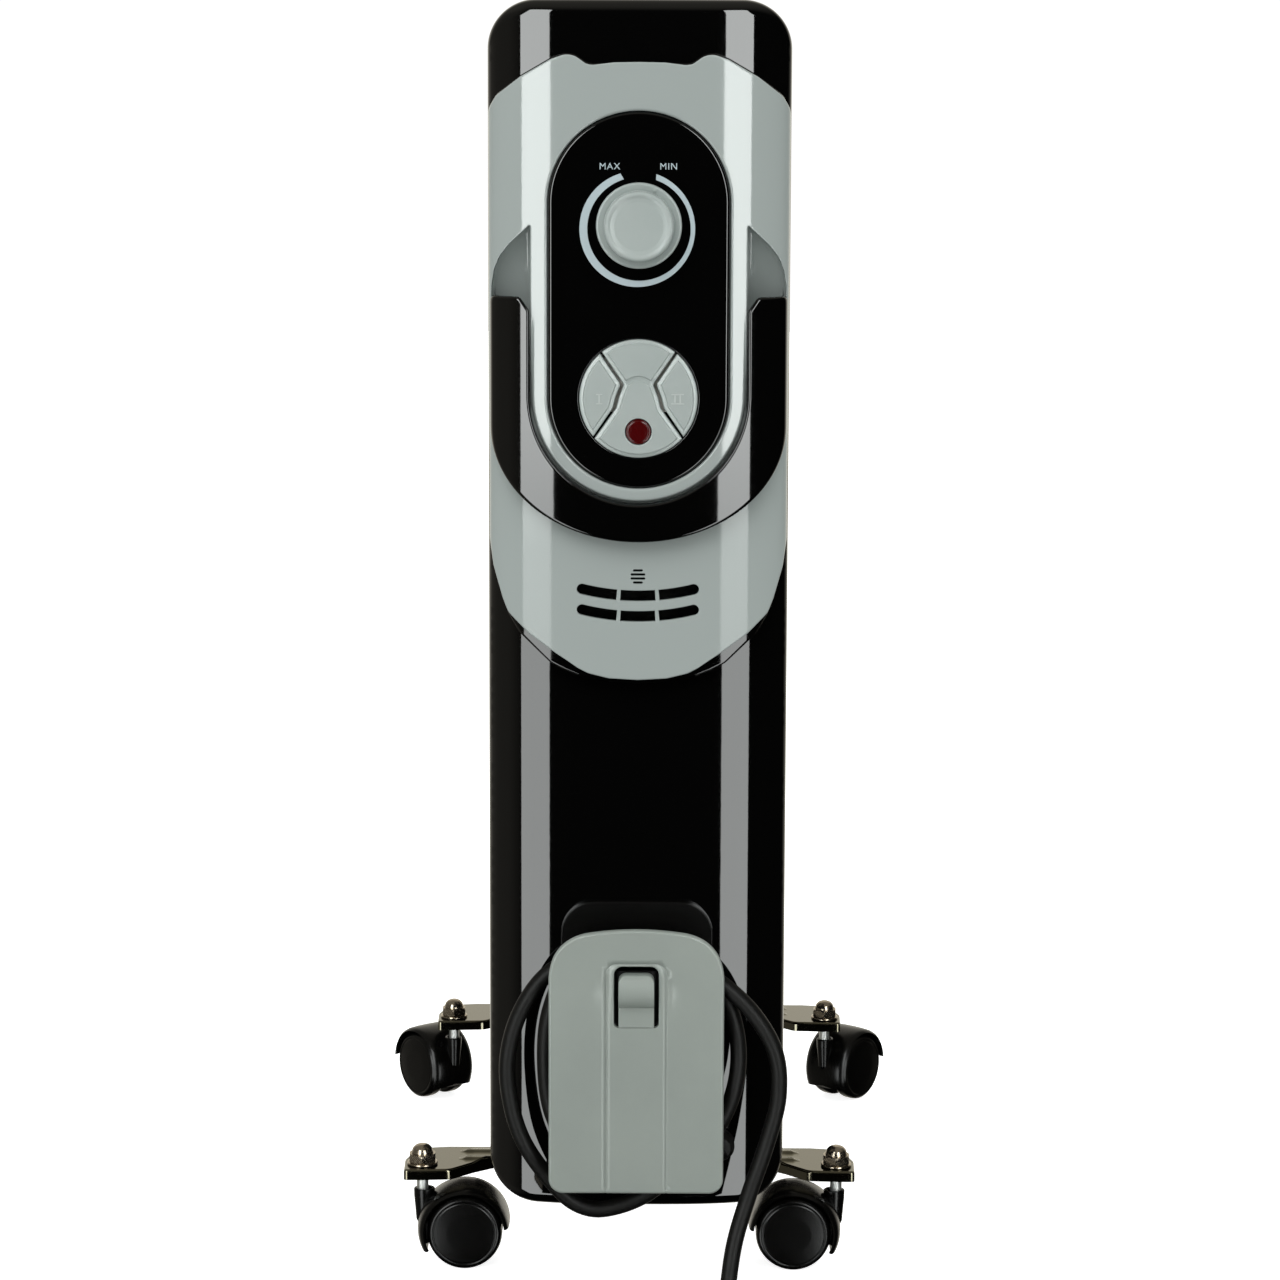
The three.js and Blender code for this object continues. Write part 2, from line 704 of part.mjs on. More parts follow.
// The neck that the cord is wound round, on a base that follows the cover's bow.
function winderCore() {
  const { half, low, high, corner } = NECK;
  const base = prism("y", rounded(-37, 37, 102, 206, 12, 16), -24.2, 0, 4).subtract(coverClearance);
  const neck = prism("y", rounded(-half, half, low, high, corner), WINDER.back + GAP, 0, 4);
  return base.add(neck.subtract(coverClearance));
}

add("winder_plate", winderPlate(), PLATE_GREY);
add("winder_clip", winderClip(), PLATE_GREY);
add("winder_core", winderCore(), SATIN_BLACK);

// ---------------------------------------------------------------- mains cord

// The gland: a bush through the cover, turning into a tapered strain relief.
function cordGland() {
  const { x, y, z, end } = GLAND;
  const tail = rod("y", 4.6, -30, -12, x, z, 12);
  const flange = rod("y", 7.4, -29, -19.3, x, z, 12);
  const start = new THREE.Vector3(x, y, z);
  const tip = new THREE.Vector3(...end);
  const length = start.distanceTo(tip);
  const taper = new THREE.LatheGeometry(
    [
      [0, -5],
      [4, -5],
      [6.6, 0],
      [6.6, 4],
      [4.9, length],
      [0, length],
    ].map(([r, along]) => new THREE.Vector2(r, along)),
    12,
  );
  const lean = new THREE.Quaternion().setFromUnitVectors(
    new THREE.Vector3(0, 1, 0),
    tip.clone().sub(start).normalize(),
  );
  taper.applyQuaternion(lean);
  taper.translate(x, y, z);
  return tail.add(flange).add(solid(taper));
}

function coilRing(grow) {
  const { x, y, inner, outer, high } = COIL;
  const chamfer = 2.4;
  const low = 0.1;
  const profile = [
    [inner - grow, low + chamfer],
    [inner + chamfer, low - grow],
    [outer - chamfer, low - grow],
    [outer + grow, low + chamfer],
    [outer + grow, high - chamfer],
    [outer - chamfer, high + grow],
    [inner + chamfer, high + grow],
    [inner - grow, high - chamfer],
  ];
  return turnedZ([...profile, profile[0]], x, y, 36);
}

function cordRun() {
  const stops = CORD_ROUTE.map((p) => new THREE.Vector3(...p));
  const route = new THREE.CatmullRomCurve3(stops, false, "centripetal");
  return tube(route, CORD.radius, CORD.sides, CORD.steps).subtract(coilRing(GAP));
}

// The plug lies on its rim and the end of its boot beside the coil, its pins away from the cord.
function cordPlug() {
  const boot = { x: -36, y: -132.1 };
  const tilt = THREE.MathUtils.degToRad(14);
  const profile = [
    [0, 0],
    [4.8, 0],
    [6.6, 22],
    [12, 27],
    [14.5, 42],
    [18.5, 44],
    [18.5, 56],
    [0, 56],
  ];
  const body = new THREE.LatheGeometry(profile.map(([r, along]) => new THREE.Vector2(r, along)), 16);
  const pins = [-9.5, 9.5].map((across) => {
    const pin = new THREE.CylinderGeometry(2.3, 2.3, 20, 8);
    pin.translate(0, 65, across);
    return pin;
  });
  const pieces = [body, ...pins].map((geometry) => {
    geometry.rotateZ(Math.PI / 2);
    geometry.rotateY(tilt);
    return geometry;
  });
  body.computeBoundingBox();
  for (const geometry of pieces) geometry.translate(boot.x, boot.y, 0.1 - body.boundingBox.min.z);
  const [grip, ...rest] = pieces.map(solid);
  return rest.reduce((whole, pin) => whole.add(pin), grip).subtract(coilRing(GAP));
}

add("cord_gland", cordGland(), RUBBER);
add("cord_run", cordRun(), RUBBER);
add("cord_coil", coilRing(0), RUBBER);
add("cord_plug", cordPlug(), RUBBER);

// ---------------------------------------------------------------- feet

// Half of a foot's outline from above, measured from the caster stems' line.
const footHalf = (x) => [
  [0, -4],
  [38, -4],
  [48, 4],
  [60, 10.5],
  [69, 9.5],
  [80, 1.5],
  [91, -8],
  [x - 8, -9.8],
  [x, -10.4],
  [x + 9, -10.5],
  [x + 9.5, 10],
  [x + 7, 19],
  [x - 1, 26.5],
  [x - 8, 29],
  [0, 29],
];

function foot({ x, y, shift }) {
  const { top, skirt, sheet } = FOOT;
  const edge = footHalf(x);
  const whole = (points) => outline([...points, ...points.map(([u, v]) => [-u, v]).reverse()]);
  const inside = [
    [0, -4 + sheet],
    [37.4, -4 + sheet],
    [47, 5.4],
    [59.6, 12.2],
    [69.6, 11.1],
    [81, 2.9],
    [91.6, -8 + sheet],
    [x - 7.8, -9.8 + sheet],
    [x, -10.4 + sheet],
    [x + 9 - sheet, -10.5 + sheet],
    [x + 9.5 - sheet, 9.6],
    [x + 5.6, 18],
    [x - 2, 25],
    [x - 8.4, 29 - sheet],
    [0, 29 - sheet],
  ];
  let made = prism("z", whole(edge), top - skirt, top).subtract(
    prism("z", whole(inside), top - skirt - 5, top - sheet),
  );
  for (const side of [-1, 1]) {
    made = made.subtract(rod("z", STEM.thread + 0.4, 0, 100, side * x, 0, 12));
    made = made.subtract(rod("z", BOLT.wire + 0.4, 0, 100, side * BOLT.half - shift, BOLT.offset, 10));
  }
  const geometry = geometryOf(made);
  geometry.translate(shift, y, 0);
  return geometry;
}

// The U bolt that hangs each foot on the row's bottom hub.
function footBolt({ y }) {
  const path = new THREE.CurvePath();
  const at = (x, z) => new THREE.Vector3(x, y + BOLT.offset, z);
  const turn = [];
  for (let i = 0; i <= 10; i += 1) {
    const angle = Math.PI * (1 - i / 10);
    turn.push(at(BOLT.half * Math.cos(angle), HUB.low + BOLT.half * Math.sin(angle)));
  }
  path.add(new THREE.LineCurve3(at(-BOLT.half, BOLT.low), turn[0]));
  for (let i = 0; i < 10; i += 1) path.add(new THREE.LineCurve3(turn[i], turn[i + 1]));
  path.add(new THREE.LineCurve3(turn[10], at(BOLT.half, BOLT.low)));
  return tube(path, BOLT.wire, 8, 18);
}

add("front_foot", foot(FEET.front), BLACK_NICKEL);
add("rear_foot", foot(FEET.rear), BLACK_NICKEL);
add("front_foot_bolt", footBolt(FEET.front), ZINC);
add("rear_foot_bolt", footBolt(FEET.rear), ZINC);

// ---------------------------------------------------------------- casters

// The caster pieces are made about the stem at the origin, with the wheels trailing towards +X.
function stem() {
  const { radius, thread, low, shoulder, top } = STEM;
  const profile = [
    [0, low],
    [radius, low],
    [radius, shoulder - 1.4],
    [5.5, shoulder - 1.4],
    [5.5, shoulder],
    [thread, shoulder],
    [thread, top],
    [0, top],
  ];
  const raise = FOOT.top - FOOT.sheet - GAP - shoulder;
  return turnedZ(profile.map(([r, z]) => [r, z >= shoulder - 1.4 ? z + raise : z]), 0, 0, 12);
}

function capNut() {
  const base = FOOT.top + GAP;
  const washer = rod("z", 7.6, base, base + 1.2, 0, 0, 12);
  const hex = rod("z", 7.5, base + 1, base + 5.8, 0, 0, 6);
  const dome = turnedZ(
    [
      [0, base + 5],
      [5.9, base + 5],
      [5.6, base + 7.2],
      [4.4, base + 9],
      [2.4, base + 10.1],
      [0, base + 10.4],
    ],
    0,
    0,
    12,
  );
  const bore = rod("z", STEM.thread + 0.4, 0, STEM.top + 5.2, 0, 0, 12);
  return washer.add(hex).add(dome).subtract(bore);
}

// The hood: a roof over both wheels, a web between them that holds the axle, and the stem's neck.
function hood() {
  const { trail, axle, hood: outside, inside, half, web, wheel } = CASTER;
  const facing = (degrees) => THREE.MathUtils.degToRad(degrees);
  const roof = new THREE.Shape();
  roof.absarc(trail, axle, outside, facing(8), facing(204));
  roof.absarc(trail, axle, inside, facing(204), facing(8), true);
  const plate = new THREE.Shape();
  plate.moveTo(trail, axle - 5);
  plate.absarc(trail, axle, inside + 1, facing(8), facing(204));
  const neck = rod("z", STEM.neck, axle - 4, STEM.neckTop, 0, 0, 12);
  const wheelRoom = (from, to) => rod("y", wheel + 0.9, from, to, trail, axle, 20);
  return prism("y", roof, -half, half, 6)
    .add(neck)
    .subtract(wheelRoom(-half - 1, -web))
    .subtract(wheelRoom(web, half + 1))
    .add(prism("y", plate, -web, web, 6))
    .subtract(rod("y", 2.9, -half, half, trail, axle, 12))
    .subtract(rod("z", STEM.radius + 0.5, STEM.low - 1.5, 60, 0, 0, 12));
}

function axlePin() {
  return rod("y", 2.4, -10.6, 10.6, CASTER.trail, CASTER.axle, 12);
}

// One wheel of a pair, outer face towards +Y. A flat of its tread rests on the floor.
function wheel() {
  const segments = 20;
  const radius = CASTER.wheel / Math.cos(Math.PI / segments);
  const profile = [
    [0, 11],
    [2.8, 11],
    [2.8, 3.4],
    [radius, 3.4],
    [radius, 11.4],
    [radius - 1.8, 12.8],
    [0, 12.8],
  ];
  const geometry = new THREE.LatheGeometry(profile.map(([r, y]) => new THREE.Vector2(r, y)), segments);
  geometry.rotateY(Math.PI / segments);
  return solid(geometry);
}

// Which way each caster trails at rest, in degrees about the stem.
const CASTERS = [
  { name: "front_left", foot: FEET.front, side: -1, trails: 0 },
  { name: "front_right", foot: FEET.front, side: 1, trails: 180 },
  { name: "rear_left", foot: FEET.rear, side: -1, trails: 128 },
  { name: "rear_right", foot: FEET.rear, side: 1, trails: 52 },
];

for (const { name, foot: place, side, trails } of CASTERS) {
  const caster = new THREE.Group();
  caster.position.set(side * place.x + place.shift, place.y, 0);
  row.add(caster);
  add(`${name}_cap_nut`, capNut(), NICKEL, caster);
  add(`${name}_stem`, stem(), ZINC, caster);
  const swivel = new THREE.Group();
  swivel.rotation.z = THREE.MathUtils.degToRad(trails);
  caster.add(swivel);
  add(`${name}_hood`, hood(), SATIN_BLACK, swivel);
  add(`${name}_axle`, axlePin(), ZINC, swivel);
  for (const [end, turn] of [["a", 0], ["b", Math.PI]]) {
    const mesh = add(`${name}_wheel_${end}`, wheel(), SATIN_BLACK, swivel);
    mesh.position.set(CASTER.trail, 0, CASTER.axle);
    mesh.rotation.z = turn;
  }
}

export default heater;
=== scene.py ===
"""An oil filled radiator heater: its looks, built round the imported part.

Shapes are worked out in millimetres in the part's own drawing frame, where y = 0 is the plane of the
cover's sides and z = 0 is the floor, and are moved into the row frame as they become meshes.
"""

import json
import math

import bpy
import numpy as np
from mathutils import Matrix, Vector, geometry


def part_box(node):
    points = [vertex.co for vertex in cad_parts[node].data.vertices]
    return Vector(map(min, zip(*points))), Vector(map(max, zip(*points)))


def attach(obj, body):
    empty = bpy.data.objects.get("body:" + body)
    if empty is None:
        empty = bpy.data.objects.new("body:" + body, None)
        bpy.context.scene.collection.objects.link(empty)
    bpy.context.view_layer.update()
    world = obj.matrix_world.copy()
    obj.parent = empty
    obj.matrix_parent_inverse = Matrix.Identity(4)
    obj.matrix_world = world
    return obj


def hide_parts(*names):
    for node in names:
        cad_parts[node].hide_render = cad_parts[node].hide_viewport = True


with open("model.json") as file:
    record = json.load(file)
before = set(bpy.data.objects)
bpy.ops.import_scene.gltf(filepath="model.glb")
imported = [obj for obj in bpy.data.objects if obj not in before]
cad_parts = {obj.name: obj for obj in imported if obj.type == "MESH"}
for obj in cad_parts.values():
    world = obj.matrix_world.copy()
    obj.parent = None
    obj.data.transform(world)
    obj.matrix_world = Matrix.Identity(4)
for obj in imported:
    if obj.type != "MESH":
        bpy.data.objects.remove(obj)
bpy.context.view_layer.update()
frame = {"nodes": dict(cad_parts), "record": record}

MM = 0.001
COVER_DEPTH = 20.0
COVER_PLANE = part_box("front_cover")[0].y + COVER_DEPTH * MM


def place(points):
    """Drawing millimetres to row frame metres."""
    out = np.asarray(points, float).reshape(-1, 3) * MM
    out[:, 1] += COVER_PLANE
    return out


# ------------------------------------------------------------------ camera

EYE = (7.5, -1658.3, 613.2)
PITCH = 7.5
YAW = 0.257
ROLL = -0.187
camera = bpy.data.objects.new("camera", bpy.data.cameras.new("camera"))
bpy.context.scene.collection.objects.link(camera)
camera.location = place(EYE)[0]
camera.rotation_euler = (math.radians(90 - PITCH), math.radians(ROLL), math.radians(YAW))
camera.data.sensor_width = 36
camera.data.lens = 96.5
camera.data.shift_y = -0.1
camera.data.clip_start = 0.05
camera.data.clip_end = 50
bpy.context.scene.camera = camera


# ------------------------------------------------------------------ driving dimensions

# A bow is its half width, its depth, the y of its edges and the power of its curve.
COVER_BOW = (73.0, COVER_DEPTH, 0.0, 3.0)
FACE_BOW = (72.0, 20.5, -10.5, 3.0)
HANDLE_BOW = (71.3, 19.0, -22.0, 2.5)
COVER = {"low": 50, "high": 642, "corner": 24, "back": 18, "wall": 1.6}
FACE_WALL = 2.4
FACE_LIFT = 6.3
PANEL = {"radius": 42.9, "low": 411.2, "high": 589.4, "front": 37.0}
RING = 51.2
RING_LOW = 404.2
POCKET_FLOOR = {"y": -8.5, "from": 490, "to": 541, "end_y": -23.0}
HANDLE_WALL = 3.5
KNOB_Z = 536
CLUSTER_Z = 454
BUTTON_FRONT = 39.4
BUTTON_DEPTH = 6.0
LENS_Z = 438.4
FIN = {"count": 9, "first": 26.5, "pitch": 39, "half": 71, "low": 52.3, "shoulder": 634, "crown": 641}
HUB = {"radius": 23, "low": 92, "high": 604}
WINDER = {"half": 42.35, "low": 67.6, "high": 198.5, "front": 50.3, "back": 47.0}
# Each foot: the caster's distance from its middle, its y, and how far it stands to the side.
FEET = {"front": (106.0, 42.0, -3.8), "rear": (109.5, 315.0, 0.0)}
FOOT_TOP = 52
FOOT_SHEET = 1.5
FOOT_SKIRT = 5.4
FOOT_RIBS = (7.5, 19.5)
RIB_END = 88
BOLT = {"half": 27, "low": 43, "behind": 4, "radius": 2.5}
TRAIL = 22.0
AXLE = 19.2
CORD_DIAMETER = 8.1


# ------------------------------------------------------------------ materials

# Base colour, roughness, metallic and specular level.
LOOKS = {
    "cover_black": ((0.0016, 0.0016, 0.0016), 0.035),
    "gloss_black": ((0.0014, 0.0014, 0.0014), 0.05),
    "painted_fin": ((0.006, 0.006, 0.0062), 0.18),
    "face_grey": ((0.366, 0.402, 0.39), 0.06),
    "knob_grey": ((0.36, 0.40, 0.385), 0.3),
    "plate_grey": ((0.275, 0.305, 0.28), 0.36),
    "satin_black": ((0.0018, 0.0017, 0.0016), 0.22, 0.0, 0.2),
    "red_lens": ((0.06, 0.0005, 0.001), 0.14, 0.0, 0.3),
    "white_plastic": ((0.72, 0.70, 0.64), 0.4),
    "zinc": ((0.7, 0.71, 0.69), 0.45, 1.0),
    "black_nickel": ((0.125, 0.116, 0.084), 0.1, 1.0),
    "nickel": ((0.33, 0.285, 0.225), 0.24, 1.0),
    "cord_rubber": ((0.0036, 0.0035, 0.0031), 0.48, 0.0, 0.15),
    "print_grey": ((0.42, 0.50, 0.53), 0.35),
    "raised_mark": ((0.47, 0.51, 0.49), 0.35),
    "brass": ((0.66, 0.62, 0.55), 0.2, 1.0),
}
# Scale, strength and distance of the fine relief.
RELIEFS = {
    "cover_black": (90, 0.02, 0.0004),
    "gloss_black": (60, 0.03, 0.0004),
    "painted_fin": (420, 0.12, 0.0004),
    "knob_grey": (2400, 0.05, 0.0002),
    "plate_grey": (2600, 0.06, 0.0002),
    "satin_black": (1800, 0.08, 0.0002),
    "zinc": (700, 0.05, 0.0002, (1, 1, 0.1)),
    "cord_rubber": (900, 0.12, 0.0003),
    "red_lens": (900, 0.25, 0.0005),
    "white_plastic": (1500, 0.05, 0.0002),
}
# Scale of the spots, and the two values that the roughness wanders between.
ROUGHNESSES = {
    "painted_fin": (30, 0.14, 0.24),
    "face_grey": (25, 0.05, 0.085),
    "satin_black": (60, 0.19, 0.26),
    "black_nickel": (90, 0.09, 0.13),
    "nickel": (220, 0.2, 0.26),
    "cord_rubber": (80, 0.42, 0.55),
    "print_grey": (300, 0.32, 0.4),
    "brass": (200, 0.16, 0.26),
    "raised_mark": (300, 0.3, 0.4),
}


def node(owner, kind, **inputs):
    """A shader node of a material or the world. An underscore stands for a space in an input's name."""
    new = owner.node_tree.nodes.new(kind)
    for key, value in inputs.items():
        new.inputs[key.replace("_", " ")].default_value = value
    return new


def link(owner, a, a_socket, b, b_socket):
    owner.node_tree.links.new(a.outputs[a_socket], b.inputs[b_socket])


def shader_of(made):
    return made.node_tree.nodes["Principled BSDF"]


def material(name, color, roughness, metallic=0.0, specular=0.5):
    made = bpy.data.materials.new(name)
    made.use_nodes = True
    inputs = shader_of(made).inputs
    inputs["Base Color"].default_value = (*color, 1)
    inputs["Roughness"].default_value = roughness
    inputs["Metallic"].default_value = metallic
    inputs["Specular IOR Level"].default_value = specular
    return made


def object_noise(made, scale, detail, stretch=(1, 1, 1)):
    coords = node(made, "ShaderNodeTexCoord")
    mapping = node(made, "ShaderNodeMapping", Scale=stretch)
    noise = node(made, "ShaderNodeTexNoise", Scale=scale, Detail=detail)
    link(made, coords, "Object", mapping, "Vector")
    link(made, mapping, "Vector", noise, "Vector")
    return noise


def add_bump(made, scale, strength, distance, stretch=(1, 1, 1)):
    """Fine uneven relief: orange peel, moulded grain or a drawn surface."""
    noise = object_noise(made, scale, 2.0, stretch)
    bump = node(made, "ShaderNodeBump", Strength=strength, Distance=distance)
    link(made, noise, "Fac", bump, "Height")
    link(made, bump, "Normal", shader_of(made), "Normal")


def add_variation(made, scale, low, high):
    """The roughness wanders between two values over the surface."""
    noise = object_noise(made, scale, 3.0)
    ramp = node(made, "ShaderNodeMapRange", To_Min=low, To_Max=high)
    link(made, noise, "Fac", ramp, "Value")
    link(made, ramp, "Result", shader_of(made), "Roughness")


def split_coords(owner, kind):
    coords = node(owner, "ShaderNodeTexCoord")
    split = node(owner, "ShaderNodeSeparateXYZ")
    link(owner, coords, kind, split, "Vector")
    return split


def ramp_along(owner, split, axis, span, values, kind="LINEAR"):
    """A value that goes from the first to the second over a span of one axis."""
    (low, high), (first, last) = span, values
    ramp = node(owner, "ShaderNodeMapRange", From_Min=low, From_Max=high, To_Min=first, To_Max=last)
    ramp.interpolation_type = kind
    link(owner, split, axis, ramp, "Value")
    return ramp


def add_tint(made, scale, dark, light):
    """The base colour wanders between two close colours."""
    noise = object_noise(made, scale, 4.0)
    ramp = node(made, "ShaderNodeValToRGB")
    for element, position, color in zip(ramp.color_ramp.elements, (0.35, 0.65), (dark, light)):
        element.position = position
        element.color = (*color, 1)
    link(made, noise, "Fac", ramp, "Fac")
    link(made, ramp, "Color", shader_of(made), "Base Color")


def make_materials():
    made = {name: material(name, *look) for name, look in LOOKS.items()}
    for name, values in RELIEFS.items():
        add_bump(made[name], *values)
    for name, values in ROUGHNESSES.items():
        add_variation(made[name], *values)
    face = made["face_grey"]
    shine = ramp_along(face, split_coords(face, "Object"), "Z", (0.38, 0.44), (0.21, 0.5))
    link(face, shine, "Result", shader_of(face), "Specular IOR Level")
    add_tint(made["knob_grey"], 60, (0.35, 0.392, 0.378), (0.37, 0.41, 0.395))
    add_tint(made["plate_grey"], 22, (0.266, 0.295, 0.271), (0.288, 0.318, 0.291))
    return made


MATERIALS = make_materials()


# ------------------------------------------------------------------ outlines

def arc(cx, cy, radius, start, end, steps, ry=None):
    turn = np.radians(np.linspace(start, end, steps + 1))
    return np.stack([cx + radius * np.cos(turn), cy + (ry or radius) * np.sin(turn)], 1)


def rounded_box(left, right, low, high, low_corner, high_corner=None, steps=10):
    """A rectangle with round corners, anticlockwise."""
    a, b = low_corner, high_corner or low_corner
    return np.concatenate(
        [
            arc(right - a, low + a, a, -90, 0, steps),
            arc(right - b, high - b, b, 0, 90, steps),
            arc(left + b, high - b, b, 90, 180, steps),
            arc(left + a, low + a, a, 180, 270, steps),
        ]
    )


def stadium(radius, low, high, steps=36):
    return rounded_box(-radius, radius, low, high, radius, steps=steps)


def curve_points(a, b, c, steps):
    """Points on the curve from a to c that leans to b."""
    return [(1 - t) ** 2 * a + 2 * t * (1 - t) * b + t**2 * c for t in np.linspace(0, 1, steps + 1)]


def round_corner(before, here, after, radius, room, steps):
    """The corner rounded by the radius, or by what that share of half of each side allows."""
    back, ahead = before - here, after - here
    back_half, ahead_half = np.linalg.norm(back) / 2, np.linalg.norm(ahead) / 2
    back, ahead = back / (2 * back_half), ahead / (2 * ahead_half)
    half = math.acos(np.clip(back @ ahead, -1, 1)) / 2
    reach = min(radius / max(math.tan(half), 1e-6), room * back_half, room * ahead_half)
    if reach < 1e-6:
        return [here]
    return curve_points(here + back * reach, here, here + ahead * reach, steps)


def rounded_polygon(corners, steps=5):
    """A closed line. Corners are (x, y, radius), anticlockwise."""
    spots = [np.array(corner[:2], float) for corner in corners]
    points = []
    for i, (_, _, radius) in enumerate(corners):
        ahead = spots[(i + 1) % len(spots)]
        points += round_corner(spots[i - 1], spots[i], ahead, radius, 0.98, steps)
    return np.array(points)


def rounded_line(points, radius, steps=4):
    """An open line with its inner corners rounded."""
    points = [np.array(p, float) for p in points]
    out = [points[0]]
    for before, here, after in zip(points, points[1:], points[2:]):
        out += round_corner(before, here, after, radius, 0.95, steps)
    return np.array([*out, points[-1]])


def dense(loop, spacing):
    """The same closed line, with points no further apart than the spacing."""
    out = []
    for a, b in zip(loop, np.roll(loop, -1, 0)):
        length = np.linalg.norm(b - a)
        if length < 1e-6:
            continue
        count = max(1, math.ceil(length / spacing))
        out.extend(a + (b - a) * i / count for i in range(count))
    return np.array(out)


def mirrored(points):
    return np.array([*points, *[(-x, z) for x, z in reversed(points) if abs(x) > 1e-9]], float)


def area(loop):
    x, y = loop[:, 0], loop[:, 1]
    return 0.5 * float(np.sum(x * np.roll(y, -1) - np.roll(x, -1) * y))


def anticlockwise(loop):
    return loop if area(loop) > 0 else loop[::-1]


def inward(loop):
    """For each point, the direction to its left, stretched at corners so an offset keeps its distance."""
    ahead = np.roll(loop, -1, 0) - loop
    ahead /= np.maximum(np.linalg.norm(ahead, axis=1, keepdims=True), 1e-9)
    behind = np.roll(ahead, 1, 0)
    left = lambda e: np.stack([-e[:, 1], e[:, 0]], 1)
    both = left(ahead) + left(behind)
    both /= np.maximum(np.linalg.norm(both, axis=1, keepdims=True), 1e-9)
    stretch = 1 / np.maximum(np.sum(both * left(ahead), 1), 0.45)
    return both, both * stretch[:, None]


def contains(loop, points):
    """Which points lie inside the closed line."""
    inside = np.zeros(len(points), bool)
    x, y = points[:, 0], points[:, 1]
    for (x0, y0), (x1, y1) in zip(loop, np.roll(loop, -1, 0)):
        if y0 == y1:
            continue
        crosses = ((y0 > y) != (y1 > y)) & (x < (x1 - x0) * (y - y0) / (y1 - y0) + x0)
        inside ^= crosses
    return inside


def within(loops, points):
    """Which points lie inside the first loop and outside the others."""
    keep = contains(loops[0], points)
    for loop in loops[1:]:
        keep &= ~contains(loop, points)
    return keep


def fill(loops, spacing, lines=()):
    """Triangles over the first loop less the others, with a grid of points inside it."""
    points = [tuple(p) for loop in loops for p in loop]
    edges = []
    for loop in loops:
        start, count = len(edges), len(loop)
        edges += [(start + i, start + (i + 1) % count) for i in range(count)]
    edge_points = np.array(points)
    near = 0.55 * min(spacing)
    for line in lines:
        line = np.asarray(line, float)
        first = len(points)
        points += [tuple(p) for p in line]
        edges += [(first + i, first + i + 1) for i in range(len(line) - 1)]
        edge_points = np.concatenate([edge_points, line])
    low, high = loops[0].min(0), loops[0].max(0)
    columns = np.arange(low[0] + spacing[0] / 2, high[0], spacing[0])
    rows = np.arange(low[1] + spacing[1] / 2, high[1], spacing[1])
    grid = np.stack(np.meshgrid(columns, rows), -1).reshape(-1, 2)
    grid = grid[within(loops, grid)]
    if len(grid):
        gaps = np.array([np.min(np.hypot(*(edge_points - p).T)) for p in grid])
        points += [tuple(p) for p in grid[gaps > near]]
    made = geometry.delaunay_2d_cdt([Vector(p) for p in points], edges, [], 0, 1e-5)
    verts = np.array([tuple(v) for v in made[0]])
    faces = np.array([tuple(f) for f in made[2]])
    faces = faces[within(loops, verts[faces].mean(1))]
    a, b, c = verts[faces[:, 0]], verts[faces[:, 1]], verts[faces[:, 2]]
    turned = (b[:, 0] - a[:, 0]) * (c[:, 1] - a[:, 1]) - (c[:, 0] - a[:, 0]) * (b[:, 1] - a[:, 1])
    faces[turned < 0] = faces[turned < 0][:, ::-1]
    return verts, faces


# ------------------------------------------------------------------ meshes


def settle(name, data, slot, body, nodes=()):
    """Makes the object, gives it its material, ties it to its body and hides the CAD nodes that it stands
    for.
    """
    data.materials.append(MATERIALS[slot])
    made = bpy.data.objects.new(name, data)
    bpy.context.scene.collection.objects.link(made)
    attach(made, body)
    if nodes:
        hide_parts(*nodes)
    return made


def finish_mesh(name, verts, faces, slot, body, nodes=(), normals=None, smooth_angle=None):
    """A mesh with its own normals, or with sharp edges above an angle."""
    mesh = bpy.data.meshes.new(name)
    mesh.from_pydata([tuple(v) for v in place(verts)], [], [tuple(int(i) for i in f) for f in faces])
    mesh.validate(clean_customdata=False)
    mesh.update()
    for polygon in mesh.polygons:
        polygon.use_smooth = True
    if normals is not None:
        mesh.normals_split_custom_set_from_vertices([tuple(n) for n in normals])
    elif smooth_angle:
        mesh.set_sharp_from_angle(angle=math.radians(smooth_angle))
    return settle(name, mesh, slot, body, nodes)


def upright(u, v, d):
    return np.stack([u, -d, v], 1)


def flat_at(depth):
    """An upright surface at that depth in front of y = 0."""
    return lambda u, v, d: upright(u, v, d + depth)


def wall_to(depth):
    """Walls that run back to that depth in front of y = 0."""
    return lambda u, v: upright(u, v, np.full(len(u), depth))


def at_y(u, y, v):
    return np.stack([u, y, v], 1)


def bow(x, shape, inset=0.0):
    """The y of a bowed skin at x."""
    half, deep, edge, power = shape[0] - inset, shape[1] - inset, shape[2], shape[3]
    across = np.minimum(np.abs(x) / half, 0.99995)
    return edge - deep * np.sqrt(1 - across**power)


def turned_normals(uvd, normals, shape):
    """Normals carried through a bent shape, by its slopes."""
    step = 1e-3
    slopes = []
    for axis in range(3):
        ahead, behind = uvd.copy(), uvd.copy()
        ahead[:, axis] += step
        behind[:, axis] -= step
        slopes.append((shape(*ahead.T) - shape(*behind.T)) / (2 * step))
    jacobian = np.stack(slopes, 2)
    out = np.linalg.solve(np.transpose(jacobian, (0, 2, 1)), normals[:, :, None])[:, :, 0]
    return out / np.maximum(np.linalg.norm(out, axis=1, keepdims=True), 1e-9)


def band(a, b, count):
    """Quads between two closed rings of points, given where each ring starts."""
    return [(a + i, a + (i + 1) % count, b + (i + 1) % count, b + i) for i in range(count)]


